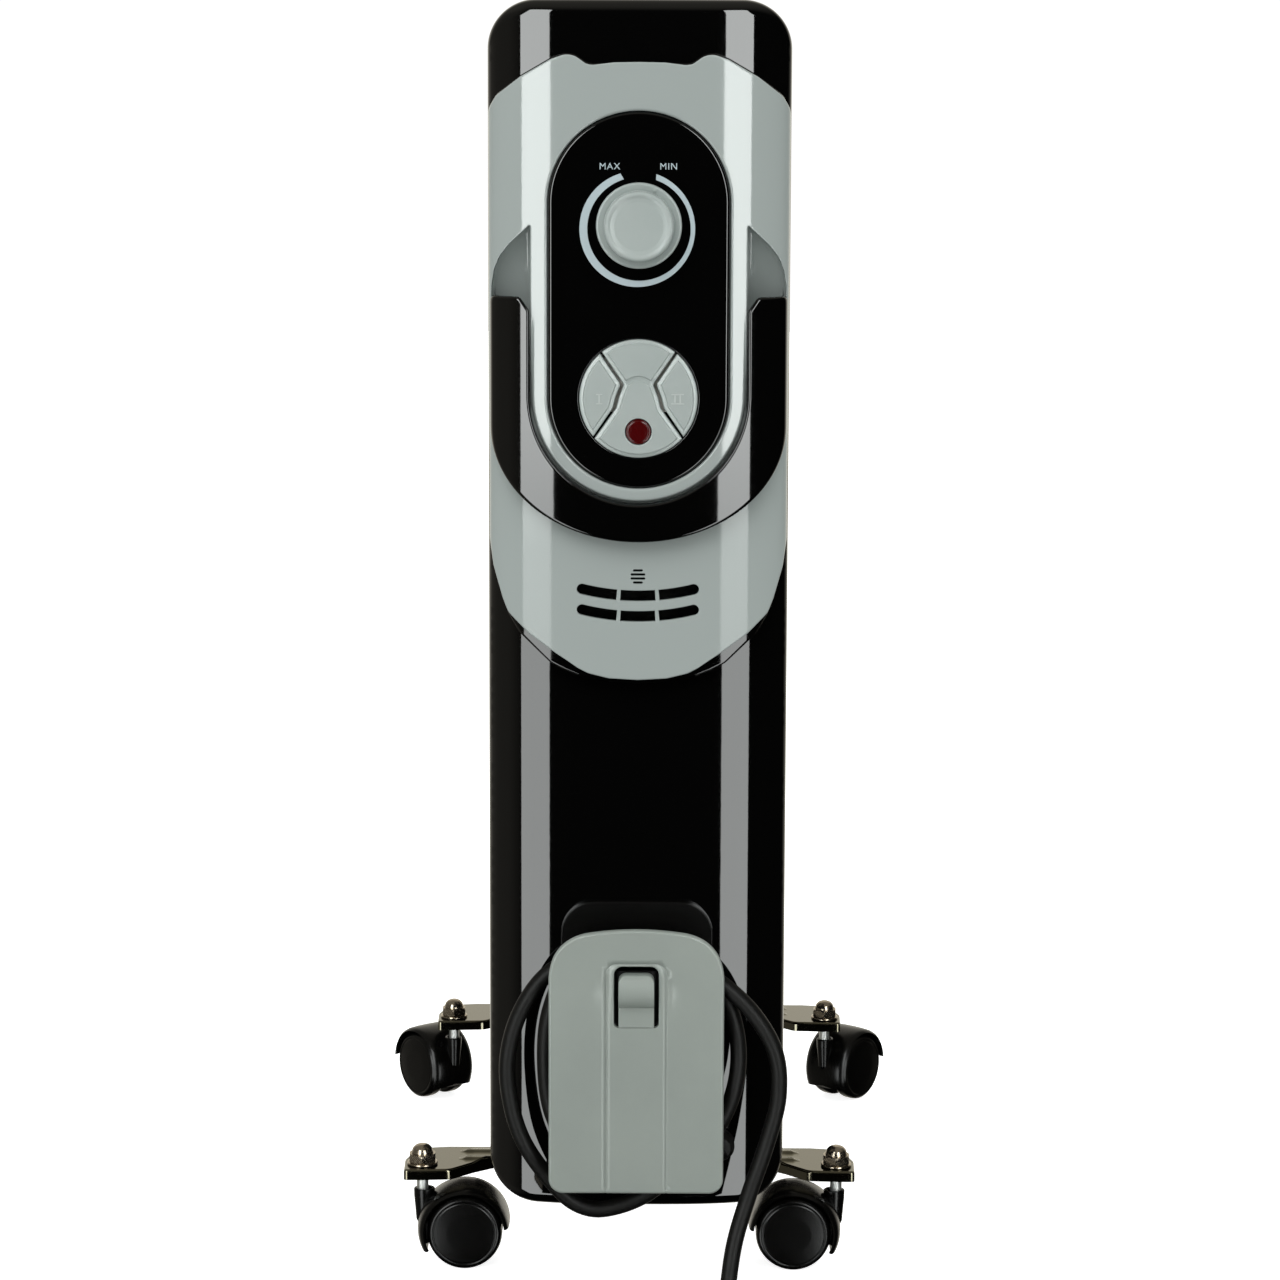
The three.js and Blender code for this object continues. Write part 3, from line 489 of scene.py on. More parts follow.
class Part:
    """Vertices, faces and normals collected from several surfaces."""

    def __init__(self):
        self.verts, self.normals, self.faces = [], [], []
        self.count = 0

    def joined(self):
        return np.concatenate(self.verts), np.concatenate(self.normals)

    def add(self, verts, normals, faces):
        start = self.count
        self.verts.append(verts)
        self.normals.append(normals)
        self.faces += [tuple(start + i for i in f) for f in faces]
        self.count += len(verts)
        return start

    def thicken(self, wall, axis, edge, count):
        """Turns the surface into a sheet, whose outline of count points ends at the edge."""
        verts, normals = self.joined()
        inner = verts - normals * wall
        inner[np.abs(verts[:, axis] - edge) < 1e-6, axis] = edge
        offset = self.add(inner, -normals, [f[::-1] for f in self.faces])
        for i in range(count):
            j = (i + 1) % count
            self.faces.append((j, i, offset + i, offset + j))

    def object(self, name, slot, body, nodes=()):
        verts, normals = self.joined()
        return finish_mesh(name, verts, self.faces, slot, body, nodes, normals)


def skin(part, loops, shape, rims, edge, spacing=(3, 6), steps=4, lines=(), sunk=False, back=None):
    """A surface with rounded rims. Loops are the outline, then the holes. Rims are their radii, a number
    or a function of the line's direction. Edge says how far the walls go: a number below the surface, or
    a function of (u, v) that gives the drawing coordinate. Sunk turns a plate into a pan. Back closes it."""
    side = -1.0 if sunk else 1.0
    loops = [anticlockwise(loop)[:: -1 if index else 1] for index, loop in enumerate(loops)]
    inner_loops = []
    for index, loop in enumerate(loops):
        unit, stretched = inward(loop)
        count = len(loop)
        radius = rims[min(index, len(rims) - 1)]
        radius = radius(unit) if callable(radius) else np.full(count, float(radius))
        this_edge = edge[min(index, len(edge) - 1)] if isinstance(edge, list) else edge
        if callable(this_edge):
            wall = this_edge(loop[:, 0], loop[:, 1])
        else:
            wall = shape(loop[:, 0], loop[:, 1], np.full(count, -side * this_edge))
        rings, normals = [], []
        for phi in np.linspace(0, math.pi / 2, steps + 1):
            where = loop + stretched * (radius * (1 - math.cos(phi)))[:, None]
            rings.append(np.column_stack([where, -side * radius * (1 - math.sin(phi))]))
            normals.append(np.column_stack([-side * unit * math.cos(phi), np.full(count, math.sin(phi))]))
        uvd = np.concatenate(rings)
        normals = turned_normals(uvd, np.concatenate(normals), shape)
        wall_start = part.add(wall, normals[:count].copy(), [])
        start = part.add(shape(*uvd.T), normals, [])
        part.faces += band(wall_start, start, count)
        for ring in range(start, start + steps * count, count):
            part.faces += band(ring, ring + count, count)
        inner_loops.append(rings[-1][:, :2])
    verts, faces = fill(inner_loops, spacing, lines)
    uvd = np.column_stack([verts, np.zeros(len(verts))])
    normals = turned_normals(uvd, np.tile([0.0, 0.0, 1.0], (len(uvd), 1)), shape)
    part.add(shape(*uvd.T), normals, [tuple(f) for f in faces])
    if back is not None:
        verts, faces = fill(loops, (spacing[0] * 3, spacing[1] * 3))
        away = turned_normals(
            np.column_stack([verts, np.zeros(len(verts))]),
            np.tile([0.0, 0.0, -1.0], (len(verts), 1)),
            lambda u, v, d: back(u, v) + shape(u, v, d) - shape(u, v, d * 0),
        )
        part.add(back(verts[:, 0], verts[:, 1]), away, [tuple(f[::-1]) for f in faces])


def lathe(profile, steps, rounding=0.0, corner_steps=4):
    """A turned surface about +Z from (radius, height) points, as vertices and faces."""
    if rounding:
        profile = rounded_line(profile, rounding, corner_steps)
    turns = np.radians(np.arange(steps) * 360.0 / steps)
    verts = []
    rings = []
    for r, z in profile:
        if r < 1e-6:
            rings.append([len(verts)] * steps)
            verts.append((0, 0, z))
        else:
            rings.append(list(range(len(verts), len(verts) + steps)))
            verts += [(r * math.cos(t), r * math.sin(t), z) for t in turns]
    faces = []
    for a, b in zip(rings, rings[1:]):
        for i in range(steps):
            j = (i + 1) % steps
            face = list(dict.fromkeys((a[i], a[j], b[j], b[i])))
            if len(face) > 2:
                faces.append(face)
    return np.array(verts, float), faces


def moved(verts, matrix):
    made = np.array(matrix)
    return np.asarray(verts, float) @ made[:3, :3].T + made[:3, 3]


def placed(surface, matrix):
    """The (verts, faces) surface, moved."""
    return moved(surface[0], matrix), surface[1]


def turned_out(surface):
    """The surface with its faces the other way round."""
    return surface[0], [f[::-1] for f in surface[1]]


def slide(x, y, z=0.0):
    return Matrix.Translation((x, y, z))


def spin(degrees, axis):
    return Matrix.Rotation(math.radians(degrees), 4, axis)


def turned_part(name, slot, body, nodes, pieces, smooth_angle=32):
    """Several (verts, faces) surfaces joined into one object."""
    verts, faces = [], []
    for piece_verts, piece_faces in pieces:
        start = len(verts)
        verts += [tuple(v) for v in piece_verts]
        faces += [tuple(start + i for i in f) for f in piece_faces]
    return finish_mesh(name, verts, faces, slot, body, nodes, smooth_angle=smooth_angle)


def facing_front(surface, x, z):
    """A turned surface about +Z, turned so its +Z points at -Y, with its axis through (x, z)."""
    return placed(surface, slide(x, 0, z) @ spin(90, "X"))


# ------------------------------------------------------------------ cord

ROUTE = [
    (13.7, -28, 66.3), (3, -28.2, 58.8), (-9, -28.6, 54), (-20.7, -29, 52.6), (-31.5, -29.4, 56.8),
    (-44.4, -30, 70.6), (-56, -30.6, 89), (-61.9, -31.2, 110), (-62.8, -31.8, 130.6),
    (-56.5, -32.2, 153.5), (-43, -32.6, 172.6), (-22, -32.8, 182.8), (2, -32.8, 184.2),
    (24, -32.9, 181.6), (40.5, -33.6, 166), (48.6, -35, 145), (49.2, -37.2, 124), (43, -39.6, 104),
    (29, -41, 86.5), (9, -41.2, 77), (-12, -41.2, 76.5), (-29.5, -41.2, 86), (-40.4, -41.2, 104),
    (-44.2, -41.2, 128), (-42, -41.2, 156), (-31.2, -41.2, 177.6), (-8, -41.2, 185),
    (20, -41.3, 183), (41.5, -41.5, 170), (57, -42, 155), (67.5, -42.6, 136), (69.2, -43.2, 115),
    (63.5, -44.2, 91), (55, -46.4, 66), (48.3, -50.5, 44), (45.2, -56.5, 25.5), (44.2, -65, 12),
    (44, -75, 6.2),
]
COIL = {"x": -4.2, "y": -88.0, "sweep": 810, "big": 48.2, "small": 40.0, "top": 44.1}


def smooth_step(t):
    t = np.clip(t, 0, 1)
    return t * t * (3 - 2 * t)


def coil_points():
    """Two and a quarter turns, clockwise from above, then out to the plug."""
    points = []
    for degrees in range(0, COIL["sweep"] + 1, 10):
        smaller, higher = smooth_step((degrees - 290) / 70), smooth_step((degrees - 640) / 80)
        radius = COIL["big"] + (COIL["small"] - COIL["big"]) * smaller
        radius += (COIL["top"] - COIL["small"]) * higher
        height = 4.1 + 7.1 * higher
        turn = math.radians(-degrees)
        x, y = COIL["x"] + radius * math.cos(turn), COIL["y"] + radius * math.sin(turn)
        points.append((x, y, height))
    return points


def smooth_line(points, step):
    """A centripetal Catmull-Rom line through the points, sampled at about the step."""
    points = [np.array(p, float) for p in points]
    ends = [2 * points[0] - points[1], *points, 2 * points[-1] - points[-2]]
    out = []
    for p0, p1, p2, p3 in zip(ends, ends[1:], ends[2:], ends[3:]):
        gaps = [np.linalg.norm(b - a) ** 0.5 for a, b in ((p0, p1), (p1, p2), (p2, p3))]
        t0, t1, t2, t3 = 0.0, gaps[0], gaps[0] + gaps[1], gaps[0] + gaps[1] + gaps[2]
        count = max(1, round(np.linalg.norm(p2 - p1) / step))
        for t in t1 + (t2 - t1) * np.arange(count) / count:
            a1 = p0 * (t1 - t) / (t1 - t0) + p1 * (t - t0) / (t1 - t0)
            a2 = p1 * (t2 - t) / (t2 - t1) + p2 * (t - t1) / (t2 - t1)
            a3 = p2 * (t3 - t) / (t3 - t2) + p3 * (t - t2) / (t3 - t2)
            b1 = a1 * (t2 - t) / (t2 - t0) + a2 * (t - t0) / (t2 - t0)
            b2 = a2 * (t3 - t) / (t3 - t1) + a3 * (t - t1) / (t3 - t1)
            out.append(b1 * (t2 - t) / (t2 - t1) + b2 * (t - t1) / (t2 - t1))
    out.append(points[-1])
    return np.array(out)


def tube(name, points, radius, slot, nodes, resolution):
    """A round bar or cord along a line, on the radiator."""
    curve = bpy.data.curves.new(name, "CURVE")
    curve.dimensions = "3D"
    curve.bevel_depth = radius * MM
    curve.bevel_resolution = resolution
    curve.use_fill_caps = True
    spline = curve.splines.new("POLY")
    world = place(points)
    spline.points.add(len(world) - 1)
    for target, point in zip(spline.points, world):
        target.co = (*point, 1)
    return settle(name, curve, slot, "radiator", nodes)


def lofted(points, radii, sides=20):
    """A tube of changing radius along a line, as vertices and faces."""
    points = np.asarray(points, float)
    along = np.gradient(points, axis=0)
    along /= np.linalg.norm(along, axis=1, keepdims=True)
    up = np.array([0.0, 0.0, 1.0])
    verts, faces = [], []
    for p, a, r in zip(points, along, radii):
        side = np.cross(a, up)
        side /= np.linalg.norm(side)
        top = np.cross(side, a)
        verts += [
            p + r * (math.cos(t) * side + math.sin(t) * top)
            for t in np.linspace(0, 2 * math.pi, sides, endpoint=False)
        ]
    for k in range(len(points) - 1):
        for i in range(sides):
            j = (i + 1) % sides
            faces.append((k * sides + i, (k + 1) * sides + i, (k + 1) * sides + j, k * sides + j))
    faces.append(tuple(range(sides)))
    faces.append(tuple(reversed(range((len(points) - 1) * sides, len(points) * sides))))
    return verts, faces


PLUG = {"x": -36.0, "y": -132.1, "tilt": 14.0}


def make_plug():
    """A round moulded plug with a ribbed boot, a grip and two pins, lying on its rim and its boot."""
    profile = [(0, 0), (4.9, 0)]
    for i in range(5):
        base = 1.5 + i * 4.1
        widen = 0.33 * i
        profile += [(5.1 + widen, base), (5.1 + widen, base + 2.5)]
        profile += [(4.5 + widen, base + 3.0), (4.5 + widen, base + 3.8)]
    profile += [(6.6, 22.5), (11.6, 27), (14.3, 42), (18.3, 44.2), (18.3, 55.6), (17.2, 56), (0, 56)]
    body = lathe(profile, 56, 0.8)
    sleeve = lathe([(0, 55), (2.4, 55), (2.4, 73), (1.7, 75), (0, 75)], 20, 0.8)
    lug = lathe([(0, 53), (2.6, 53), (2.6, 57), (2.1, 57.4), (0, 57.4)], 16, 0.3)
    pins = [placed(sleeve, slide(0, across)) for across in (-9.5, 9.5)]
    pins += [placed(lug, slide(across, 0)) for across in (-12.6, 12.6)]
    aim = spin(PLUG["tilt"], "Y") @ spin(-90, "Y")
    lowest = min(moved(body[0], aim)[:, 2])
    aim = slide(PLUG["x"], PLUG["y"], 0.1 - lowest) @ aim
    plug = turned_part("plug_body", "cord_rubber", "radiator", ["cord_plug"], [placed(body, aim)])
    pin_set = turned_part("plug_pins", "brass", "radiator", [], [placed(pin, aim) for pin in pins])
    return plug, pin_set, moved([(0, 0, -12.0), (0, 0, -1.0)], aim)


def make_cord():
    plug, pins, lead = make_plug()
    line = smooth_line([*ROUTE, *coil_points(), *lead], 2.5)
    cord = tube("mains_cord", line, CORD_DIAMETER / 2, "cord_rubber", ["cord_run", "cord_coil"], 6)
    world = place(line)
    tie = make_tie()


def make_tie():
    """A soft strap round the coil's turns on the side away from the plug."""
    turn = math.radians(62)
    outer = rounded_box(-9.6, 9.6, -0.1, 16.1, 3.6, steps=6)
    inner = rounded_box(-8.6, 8.6, 0.25, 15.3, 3.2, steps=6)
    verts, faces = [], []
    for along in (-5.0, 5.0):
        for loop in (outer, inner):
            for r, z in loop:
                radial = COIL["top"] + r
                x = COIL["x"] + radial * math.cos(turn) - along * math.sin(turn)
                y = COIL["y"] + radial * math.sin(turn) + along * math.cos(turn)
                verts.append((x, y, max(z, 0.05)))
    count = len(outer)
    for i in range(count):
        (a, b, c, d), (e, f, g, h) = [[k * count + n % count for k in range(4)] for n in (i, i + 1)]
        faces += [(a, c, g, e), (b, f, h, d), (a, e, f, b), (c, d, h, g)]
    return finish_mesh("cord_tie", verts, faces, "satin_black", "radiator", smooth_angle=40)


# ------------------------------------------------------------------ fins

def box_distance(u, v, left, right, low, high, corner):
    """How far inside a round cornered rectangle a point is."""
    x = np.abs(u - (left + right) / 2) - ((right - left) / 2 - corner)
    y = np.abs(v - (low + high) / 2) - ((high - low) / 2 - corner)
    outside = np.hypot(np.maximum(x, 0), np.maximum(y, 0)) + np.minimum(np.maximum(x, y), 0)
    return corner - outside


FLUTES = (-17, 0, 17)


def fin_relief(u, v):
    """The pressed oil channel: a broad pillow with three upright flutes."""
    inside = box_distance(u, v, -34, 34, 62, 626, 24)
    pillow = 3.7 * smooth_step(inside / 5.5)
    flute = sum(np.exp(-(((u - c) / 2.4) ** 2)) for c in FLUTES)
    ends = smooth_step((v - 135) / 25) * smooth_step((560 - v) / 25)
    return pillow - 1.7 * flute * ends


def fin_outline():
    half, shoulder, crown = FIN["half"], FIN["shoulder"], FIN["crown"]
    right = [(half, FIN["low"], 20), (half, shoulder, 20), (33, shoulder, 3), (28.5, crown, 1.5)]
    left = [(-x, z, radius) for x, z, radius in right]
    return dense(rounded_polygon([left[0], *right, *left[:0:-1]], 8), 14)


def make_fin(index):
    name = f"fin_{index + 1}"
    y = FIN["first"] + FIN["pitch"] * index
    part = Part()
    columns = [[(c + s, 150), (c + s, 545)] for c in FLUTES for s in (-3, 0, 3)]
    front = lambda u, v, d: upright(u, v, d - y + 0.8 + fin_relief(u, v))
    skin(part, [fin_outline()], front, (0.7,), wall_to(-y), (7, 14), 2, columns)
    verts, normals = part.joined()
    verts[:, 1] = 2 * y - verts[:, 1]
    normals[:, 1] *= -1
    part.add(verts, normals, [f[::-1] for f in part.faces])
    part.object(f"{name}_sheet", "painted_fin", "radiator", [name])
    radius, reach = HUB["radius"], FIN["pitch"] / 2 - 0.15
    flare = [(27.5, 2.2), (24.2, 4.6), (radius - 0.6, 8)]
    joint = [*flare, (radius - 0.6, reach - 1.6), (radius, reach - 1), (radius, reach), (14, reach)]
    cap = [*flare, (radius - 1.4, 8), (radius - 3, 9), (0, 9)]
    hubs = []
    for z in (HUB["low"], HUB["high"]):
        for side in (-1, 1):
            profile = cap if index == FIN["count"] - 1 and side > 0 else joint
            hubs.append(placed(lathe(profile, 40), slide(0, y, z) @ spin(-90 * side, "X")))
    turned_part(f"{name}_hubs", "painted_fin", "radiator", [], hubs, 40)


# ------------------------------------------------------------------ front cover

def pocket_window(side, grow=0.0):
    left, right = 49.1 + grow, 68.6 - grow
    box = rounded_box(left, right, 434 + grow, 542 - grow, 3, steps=3)
    return box if side > 0 else box * (-1, 1)


def control_window():
    return dense(rounded_box(-42, 42, 408, 586, 30), 8)


def vent_window():
    return dense(rounded_box(-32, 32, 343, 372, 3, steps=3), 8)


def make_cover():
    half, back, wall = COVER_BOW[0], COVER["back"], COVER["wall"]
    outline = dense(rounded_box(-half, half, COVER["low"], COVER["high"], COVER["corner"], steps=24), 6)
    windows = [control_window(), vent_window(), dense(pocket_window(1), 8), dense(pocket_window(-1), 8)]
    shape = lambda u, v, d: at_y(u, bow(u, COVER_BOW) - d, v)
    through = lambda u, v: shape(u, v, np.full(len(u), -wall))
    fillet = lambda unit: 0.9 + 6.1 * np.abs(unit[:, 1]) ** 1.6
    part = Part()
    skin(part, [outline, *windows], shape, (fillet, 0.3), [wall_to(-back), through], (2.5, 7), 7)
    part.thicken(wall, 1, back, len(outline))
    part.object("front_cover_skin", "cover_black", "radiator", ["front_cover"])


# ------------------------------------------------------------------ faceplate

FACE_EDGE = [
    (0, 612.4), (12, 612.2), (22, 611), (25, 611.4), (30.5, 615.4), (35, 616), (42, 613.6),
    (56, 605.6), (68, 596.5), (71.95, 590), (71.95, 384), (70, 371), (65.5, 356), (62.7, 349),
    (52.7, 339.2), (39, 329.6), (34.6, 326.8), (29, 323), (24, 320.4), (14, 318), (0, 317.2),
]
HOUSING_EDGE = [
    (0, 613), (22, 611.8), (25, 612.3), (30.5, 616.2), (35, 616.8), (42, 614.4), (56, 606.3),
    (68, 597.2), (70.2, 594), (70.2, 377), (66, 358), (62.5, 347.5), (57, 338.6), (42.2, 324.8),
    (35, 321.4), (28.3, 318.8), (12.5, 315.6), (0, 314.8),
]


def smooth_outline(points, radius, spacing):
    corners = [(x, z, radius) for x, z in mirrored(points)]
    return dense(anticlockwise(rounded_polygon(corners, 4)), spacing)


def stadium_reach(u, v):
    """Distance from the middle line of the ring round the panel."""
    middle = np.clip(v, RING_LOW + RING, PANEL["high"] - PANEL["radius"])
    return np.hypot(u, v - middle)


def face_lift(u, v):
    """How far the faceplate stands off its bow: all over its upper part, and in the ring round the panel."""
    upper = smooth_step((v - 396) / 100)
    edge = 1.8
    rounding = np.clip((stadium_reach(u, v) - (RING - edge)) / edge, 0, 0.9995)
    ring = np.where(stadium_reach(u, v) < RING, 0.4 + 0.6 * np.sqrt(1 - rounding**2), 0.0)
    return FACE_LIFT * np.maximum(upper, ring)


def face_shape(u, v, d):
    return at_y(u, bow(u, FACE_BOW) - face_lift(u, v) - d, v)


def vent_slot(centre_low, start, end, round_end):
    """A slot along an arc, from one distance off the middle to another, its far end round or square."""
    bend, high = 118.0, 5.1
    middle = bend - high / 2
    centre = centre_low + bend
    angles = np.arcsin(np.linspace(start, end, 8) / middle)
    at = lambda radius, a: np.stack([radius * np.sin(a), centre - radius * np.cos(a)], 1)
    points = [*at(bend, angles)]
    if round_end:
        tip = at(middle, angles[-1:])[0]
        along = np.array([math.cos(angles[-1]), math.sin(angles[-1])])
        down = np.array([math.sin(angles[-1]), -math.cos(angles[-1])])
        for turn in np.radians(np.linspace(75, -75, 7)):
            points.append(tip + high / 2 * (along * math.cos(turn) + down * math.sin(turn)))
    points += [*at(bend - high, angles[::-1])]
    return np.array(points)


def vent_slots():
    loops = []
    for low in (355.7, 345.7):
        loops.append(vent_slot(low, -8.3, 8.3, False))
        side = vent_slot(low, 10.2, 26.8, True)
        loops += [side, side * (-1, 1)]
    return loops


def grille_slits():
    """Four slits in a round patch above the vents."""
    middle, radius, pitch = 367.7, 3.6, 1.95
    loops = []
    for i in range(4):
        z = middle + pitch * (i - 1.5)
        half = math.sqrt(radius**2 - (abs(z - middle) - 0.2) ** 2)
        loops.append(rounded_box(-half, half, z - 0.55, z + 0.55, 0.5, steps=3))
    return loops


POCKET_EDGE = [
    (51.5, 437, 1), (70.4, 437, 1), (70.4, 506, 6), (69.2, 514, 6), (66.5, 520.5, 8),
    (62, 526.3, 12), (57, 531, 16), (51.5, 536, 0.6),
]


def pocket_outline(side):
    loop = dense(rounded_polygon(POCKET_EDGE, 5), 3)
    return loop if side > 0 else loop * (-1, 1)


def pocket_floor(u, v):
    """The pocket's floor: level at its lower part, and rising to the faceplate at its top."""
    slope = np.clip((v - POCKET_FLOOR["from"]) / (POCKET_FLOOR["to"] - POCKET_FLOOR["from"]), 0, 1)
    return POCKET_FLOOR["y"] + (POCKET_FLOOR["end_y"] - POCKET_FLOOR["y"]) * slope**1.2


def make_faceplate():
    outline = smooth_outline(FACE_EDGE, 9, 3)
    panel_hole = stadium(PANEL["radius"] + 0.3, PANEL["low"] - 0.3, PANEL["high"] + 0.3, 30)
    pockets = [pocket_outline(1), pocket_outline(-1)]
    slots, slits = vent_slots(), grille_slits()
    rings = []
    for inset in (1.8, 1.1, 0.6, 0.25, 0.05, -0.05):
        radius = RING - inset
        rings.append([(-radius, 497), *arc(0, RING_LOW + RING, radius, 180, 360, 64), (radius, 497)])
    behind = lambda u, v: at_y(u, bow(u, FACE_BOW) + FACE_WALL, v)
    sunk_in = lambda u, v: face_shape(u, v, np.full(len(u), -4.0))
    pocket_top = lambda u, v: face_shape(u, v, np.full(len(u), -1.2))
    loops = [outline, dense(panel_hole, 4), *pockets, *slots, *slits]
    rims = [0.8, 1.5, 0.7, 0.7] + [0.55] * len(slots) + [0.22] * len(slits)
    edges = [behind, sunk_in, pocket_top, pocket_top] + [behind] * (len(slots) + len(slits))
    part = Part()
    skin(part, loops, face_shape, rims, edges, (2.5, 4), 4, rings)
    floor = lambda u, v, d: at_y(u, pocket_floor(u, v) - d, v)
    for pocket in pockets:
        skin(part, [pocket], floor, (2.4,), pocket_top, (2, 3), 4, sunk=True)
    part.object("faceplate_skin", "face_grey", "radiator", ["faceplate"])


def make_housing():
    outline = smooth_outline(HOUSING_EDGE, 9, 3)
    windows = [control_window(), vent_window()]
    windows += [dense(pocket_window(side, -0.4), 8) for side in (1, -1)]
    shape = lambda u, v, d: at_y(u, bow(u, FACE_BOW, 2.7) - d, v)
    edge = lambda u, v: at_y(u, np.minimum(bow(u, COVER_BOW) - 0.1, 0), v)
    through = lambda u, v: at_y(u, bow(u, COVER_BOW) - 0.1, v)
    part = Part()
    skin(part, [outline, *windows], shape, (1.1, 0.3), [edge, through], (3, 6), 4)
    part.object("housing_skin", "gloss_black", "radiator", ["control_housing"])


def make_vent_shade():
    """A dark pan behind the vents, so that no light comes through from the back of the cover: its black is
    painted shade for the dark inside of the housing.
    """
    shade = Part()
    wall = rounded_box(-34, 34, 341, 374, 3, steps=3)
    skin(shade, [wall], flat_at(14.0), (0.3,), -3.8, (12, 12), 1)
    shade.object("vent_shade", "satin_black", "radiator")


# ------------------------------------------------------------------ control panel and its pieces

def make_panel():
    outline = dense(stadium(PANEL["radius"], PANEL["low"], PANEL["high"], 40), 4)
    knob_hole = arc(0, KNOB_Z, 4.2, 0, 360, 32)[:-1]
    cluster_hole = arc(0, CLUSTER_Z, 28.5, 0, 360, 96)[:-1]
    loops = [outline, knob_hole, cluster_hole]
    part = Part()
    skin(part, loops, flat_at(PANEL["front"]), (1.7, 0.2, 0.5), wall_to(29.2), (6, 6), 6)
    part.object("panel_skin", "gloss_black", "radiator", ["control_panel"])


def make_scale():
    """The printed crescent round the knob, thin at MIN and thick at MAX, and the two words."""
    steps, middle, thick = 120, 534.3, 0.11
    start, end = math.radians(90 - 19), math.radians(90 + 17 - 360)
    verts, faces = [], []
    y = -PANEL["front"] - 0.12
    for i in range(steps + 1):
        turn = start + (end - start) * i / steps
        for radius, aside in ((24.4, 0.0), (27.3, -0.8)):
            x, z = aside + radius * math.cos(turn), middle + radius * math.sin(turn)
            verts += [(x, y, z), (x, y + thick, z)]
    for a in range(0, 4 * steps, 4):
        b = a + 4
        faces += [(a, a + 2, b + 2, b), (a + 2, a + 3, b + 3, b + 2), (a + 1, a, b, b + 1)]
    last = 4 * steps
    faces += [(0, 1, 3, 2), (last, last + 2, last + 3, last + 1)]
    finish_mesh("dial_scale", verts, faces, "print_grey", "radiator", smooth_angle=30)
    for text, x in (("MAX", -13.9), ("MIN", 13.9)):
        make_word(f"dial_{text.lower()}", text, (x, y, 563.6))


def make_word(name, text, spot):
    curve = bpy.data.curves.new(name, "FONT")
    curve.body = text
    curve.align_x = "CENTER"
    curve.align_y = "CENTER"
    curve.size = 4.4 * MM
    curve.extrude = 0.05 * MM
    curve.space_character = 1.12
    curve.materials.append(MATERIALS["print_grey"])
    made = bpy.data.objects.new(name, curve)
    made.location = place(spot)[0]
    made.rotation_euler = (math.radians(90), 0, 0)
    bpy.context.scene.collection.objects.link(made)
    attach(made, "radiator")


def make_knob():
    profile = [(3.3, 37.5), (19.6, 37.5), (20.25, 38.4), (20.25, 40.1), (19.9, 40.8), (19.3, 41.0)]
    profile += [(17.2, 40.6), (16.6, 40.3), (16.45, 40.8), (16.4, 50.4), (16.1, 51.4), (15.3, 51.9)]
    profile += [(14.6, 51.9), (13.4, 51.3), (11.5, 51.0), (0, 50.9)]
    around = 240
    verts, faces = lathe(profile, around, 0.5, 3)
    reach, height = np.hypot(verts[:, 0], verts[:, 1]), verts[:, 2]
    knurl = (reach > 16.0) & (reach < 16.7) & (height > 49.5) & (height < 51.2)
    every_third = np.arange(len(verts)) % around % 3 == 0
    verts[:, :2] *= (1 + knurl * 0.014 * every_third)[:, None]
    out, lean = 18.3, math.radians(23.4)
    pip = lathe([(0.95, 40.4), (0.95, 41.5), (0.6, 41.75), (0, 41.8)], 20, 0.2)
    pieces = [facing_front((verts, faces), 0, KNOB_Z)]
    pieces.append(facing_front(pip, out * math.sin(lean), KNOB_Z + out * math.cos(lean)))
    turned_part("knob_cap", "knob_grey", "knob", ["thermostat_knob"], pieces)


BUTTON_EDGE = [(-17.9, 21.8), (-7.7, 6.8), (-10, 0.9), (-11.4, -4.6), (-21.2, -18.6)]
DISC = 28.2
SLIT = 0.8


def on_disc(point, radius):
    """The point moved out or in along its radius to the circle."""
    return np.array(point) / np.linalg.norm(point) * radius


def angle_of(point):
    return math.degrees(math.atan2(point[1], point[0])) % 360


def button_loop(side):
    edge = [(u - SLIT, v) for u, v in BUTTON_EDGE]
    top, bottom = on_disc(edge[0], DISC - 0.1), on_disc(edge[-1], DISC - 0.1)
    rim = arc(0, 0, DISC - 0.1, angle_of(top), angle_of(bottom), 36)
    inner = rounded_line([bottom, *edge[-2:0:-1], top], 2.2)[1:-1]
    return dense(np.concatenate([rim, inner]) * (side, 1) + (0, CLUSTER_Z), 2)


def bezel_loop():
    edge = [(u + SLIT, v) for u, v in BUTTON_EDGE]
    top, bottom = on_disc(edge[0], DISC), on_disc(edge[-1], DISC)
    left = rounded_line([top, *edge[1:-1], bottom], 2.2)
    right = (left * (-1, 1))[::-1]
    low = arc(0, 0, DISC, angle_of(bottom), angle_of(bottom * (-1, 1)), 30)[1:-1]
    high = arc(0, 0, DISC, angle_of(top * (-1, 1)), angle_of(top), 24)[1:-1]
    return dense(np.concatenate([left, low, right, high]) + (0, CLUSTER_Z), 2)


def offset_loop(loop, distance):
    loop = anticlockwise(loop)
    return loop + inward(loop)[1] * distance


def loop_distance(loop, u, v):
    """The distance from each point to a closed line."""
    points = np.stack([u, v], 1)
    best = np.full(len(points), 1e9)
    for a, b in zip(loop, np.roll(loop, -1, 0)):
        along = b - a
        t = np.clip(((points - a) @ along) / max(along @ along, 1e-9), 0, 1)
        gap = np.linalg.norm(points - a - t[:, None] * along, axis=1)
        best = np.minimum(best, gap)
    return best


def raised_middle(loop, width, drop, soft):
    """Relief that is low in a border of that width and rises over the soft distance inside it."""

    def relief(u, v):
        reach = loop_distance(loop, u, v)
        return -drop * (1 - smooth_step((reach - width) / soft)) - 0.4 * np.clip(width - reach, 0, width)

    steps = (width, width + soft / 2, width + soft)
    rings = [offset_loop(loop, step) for step in steps]
    return relief, [np.vstack([ring, ring[:1]]) for ring in rings]


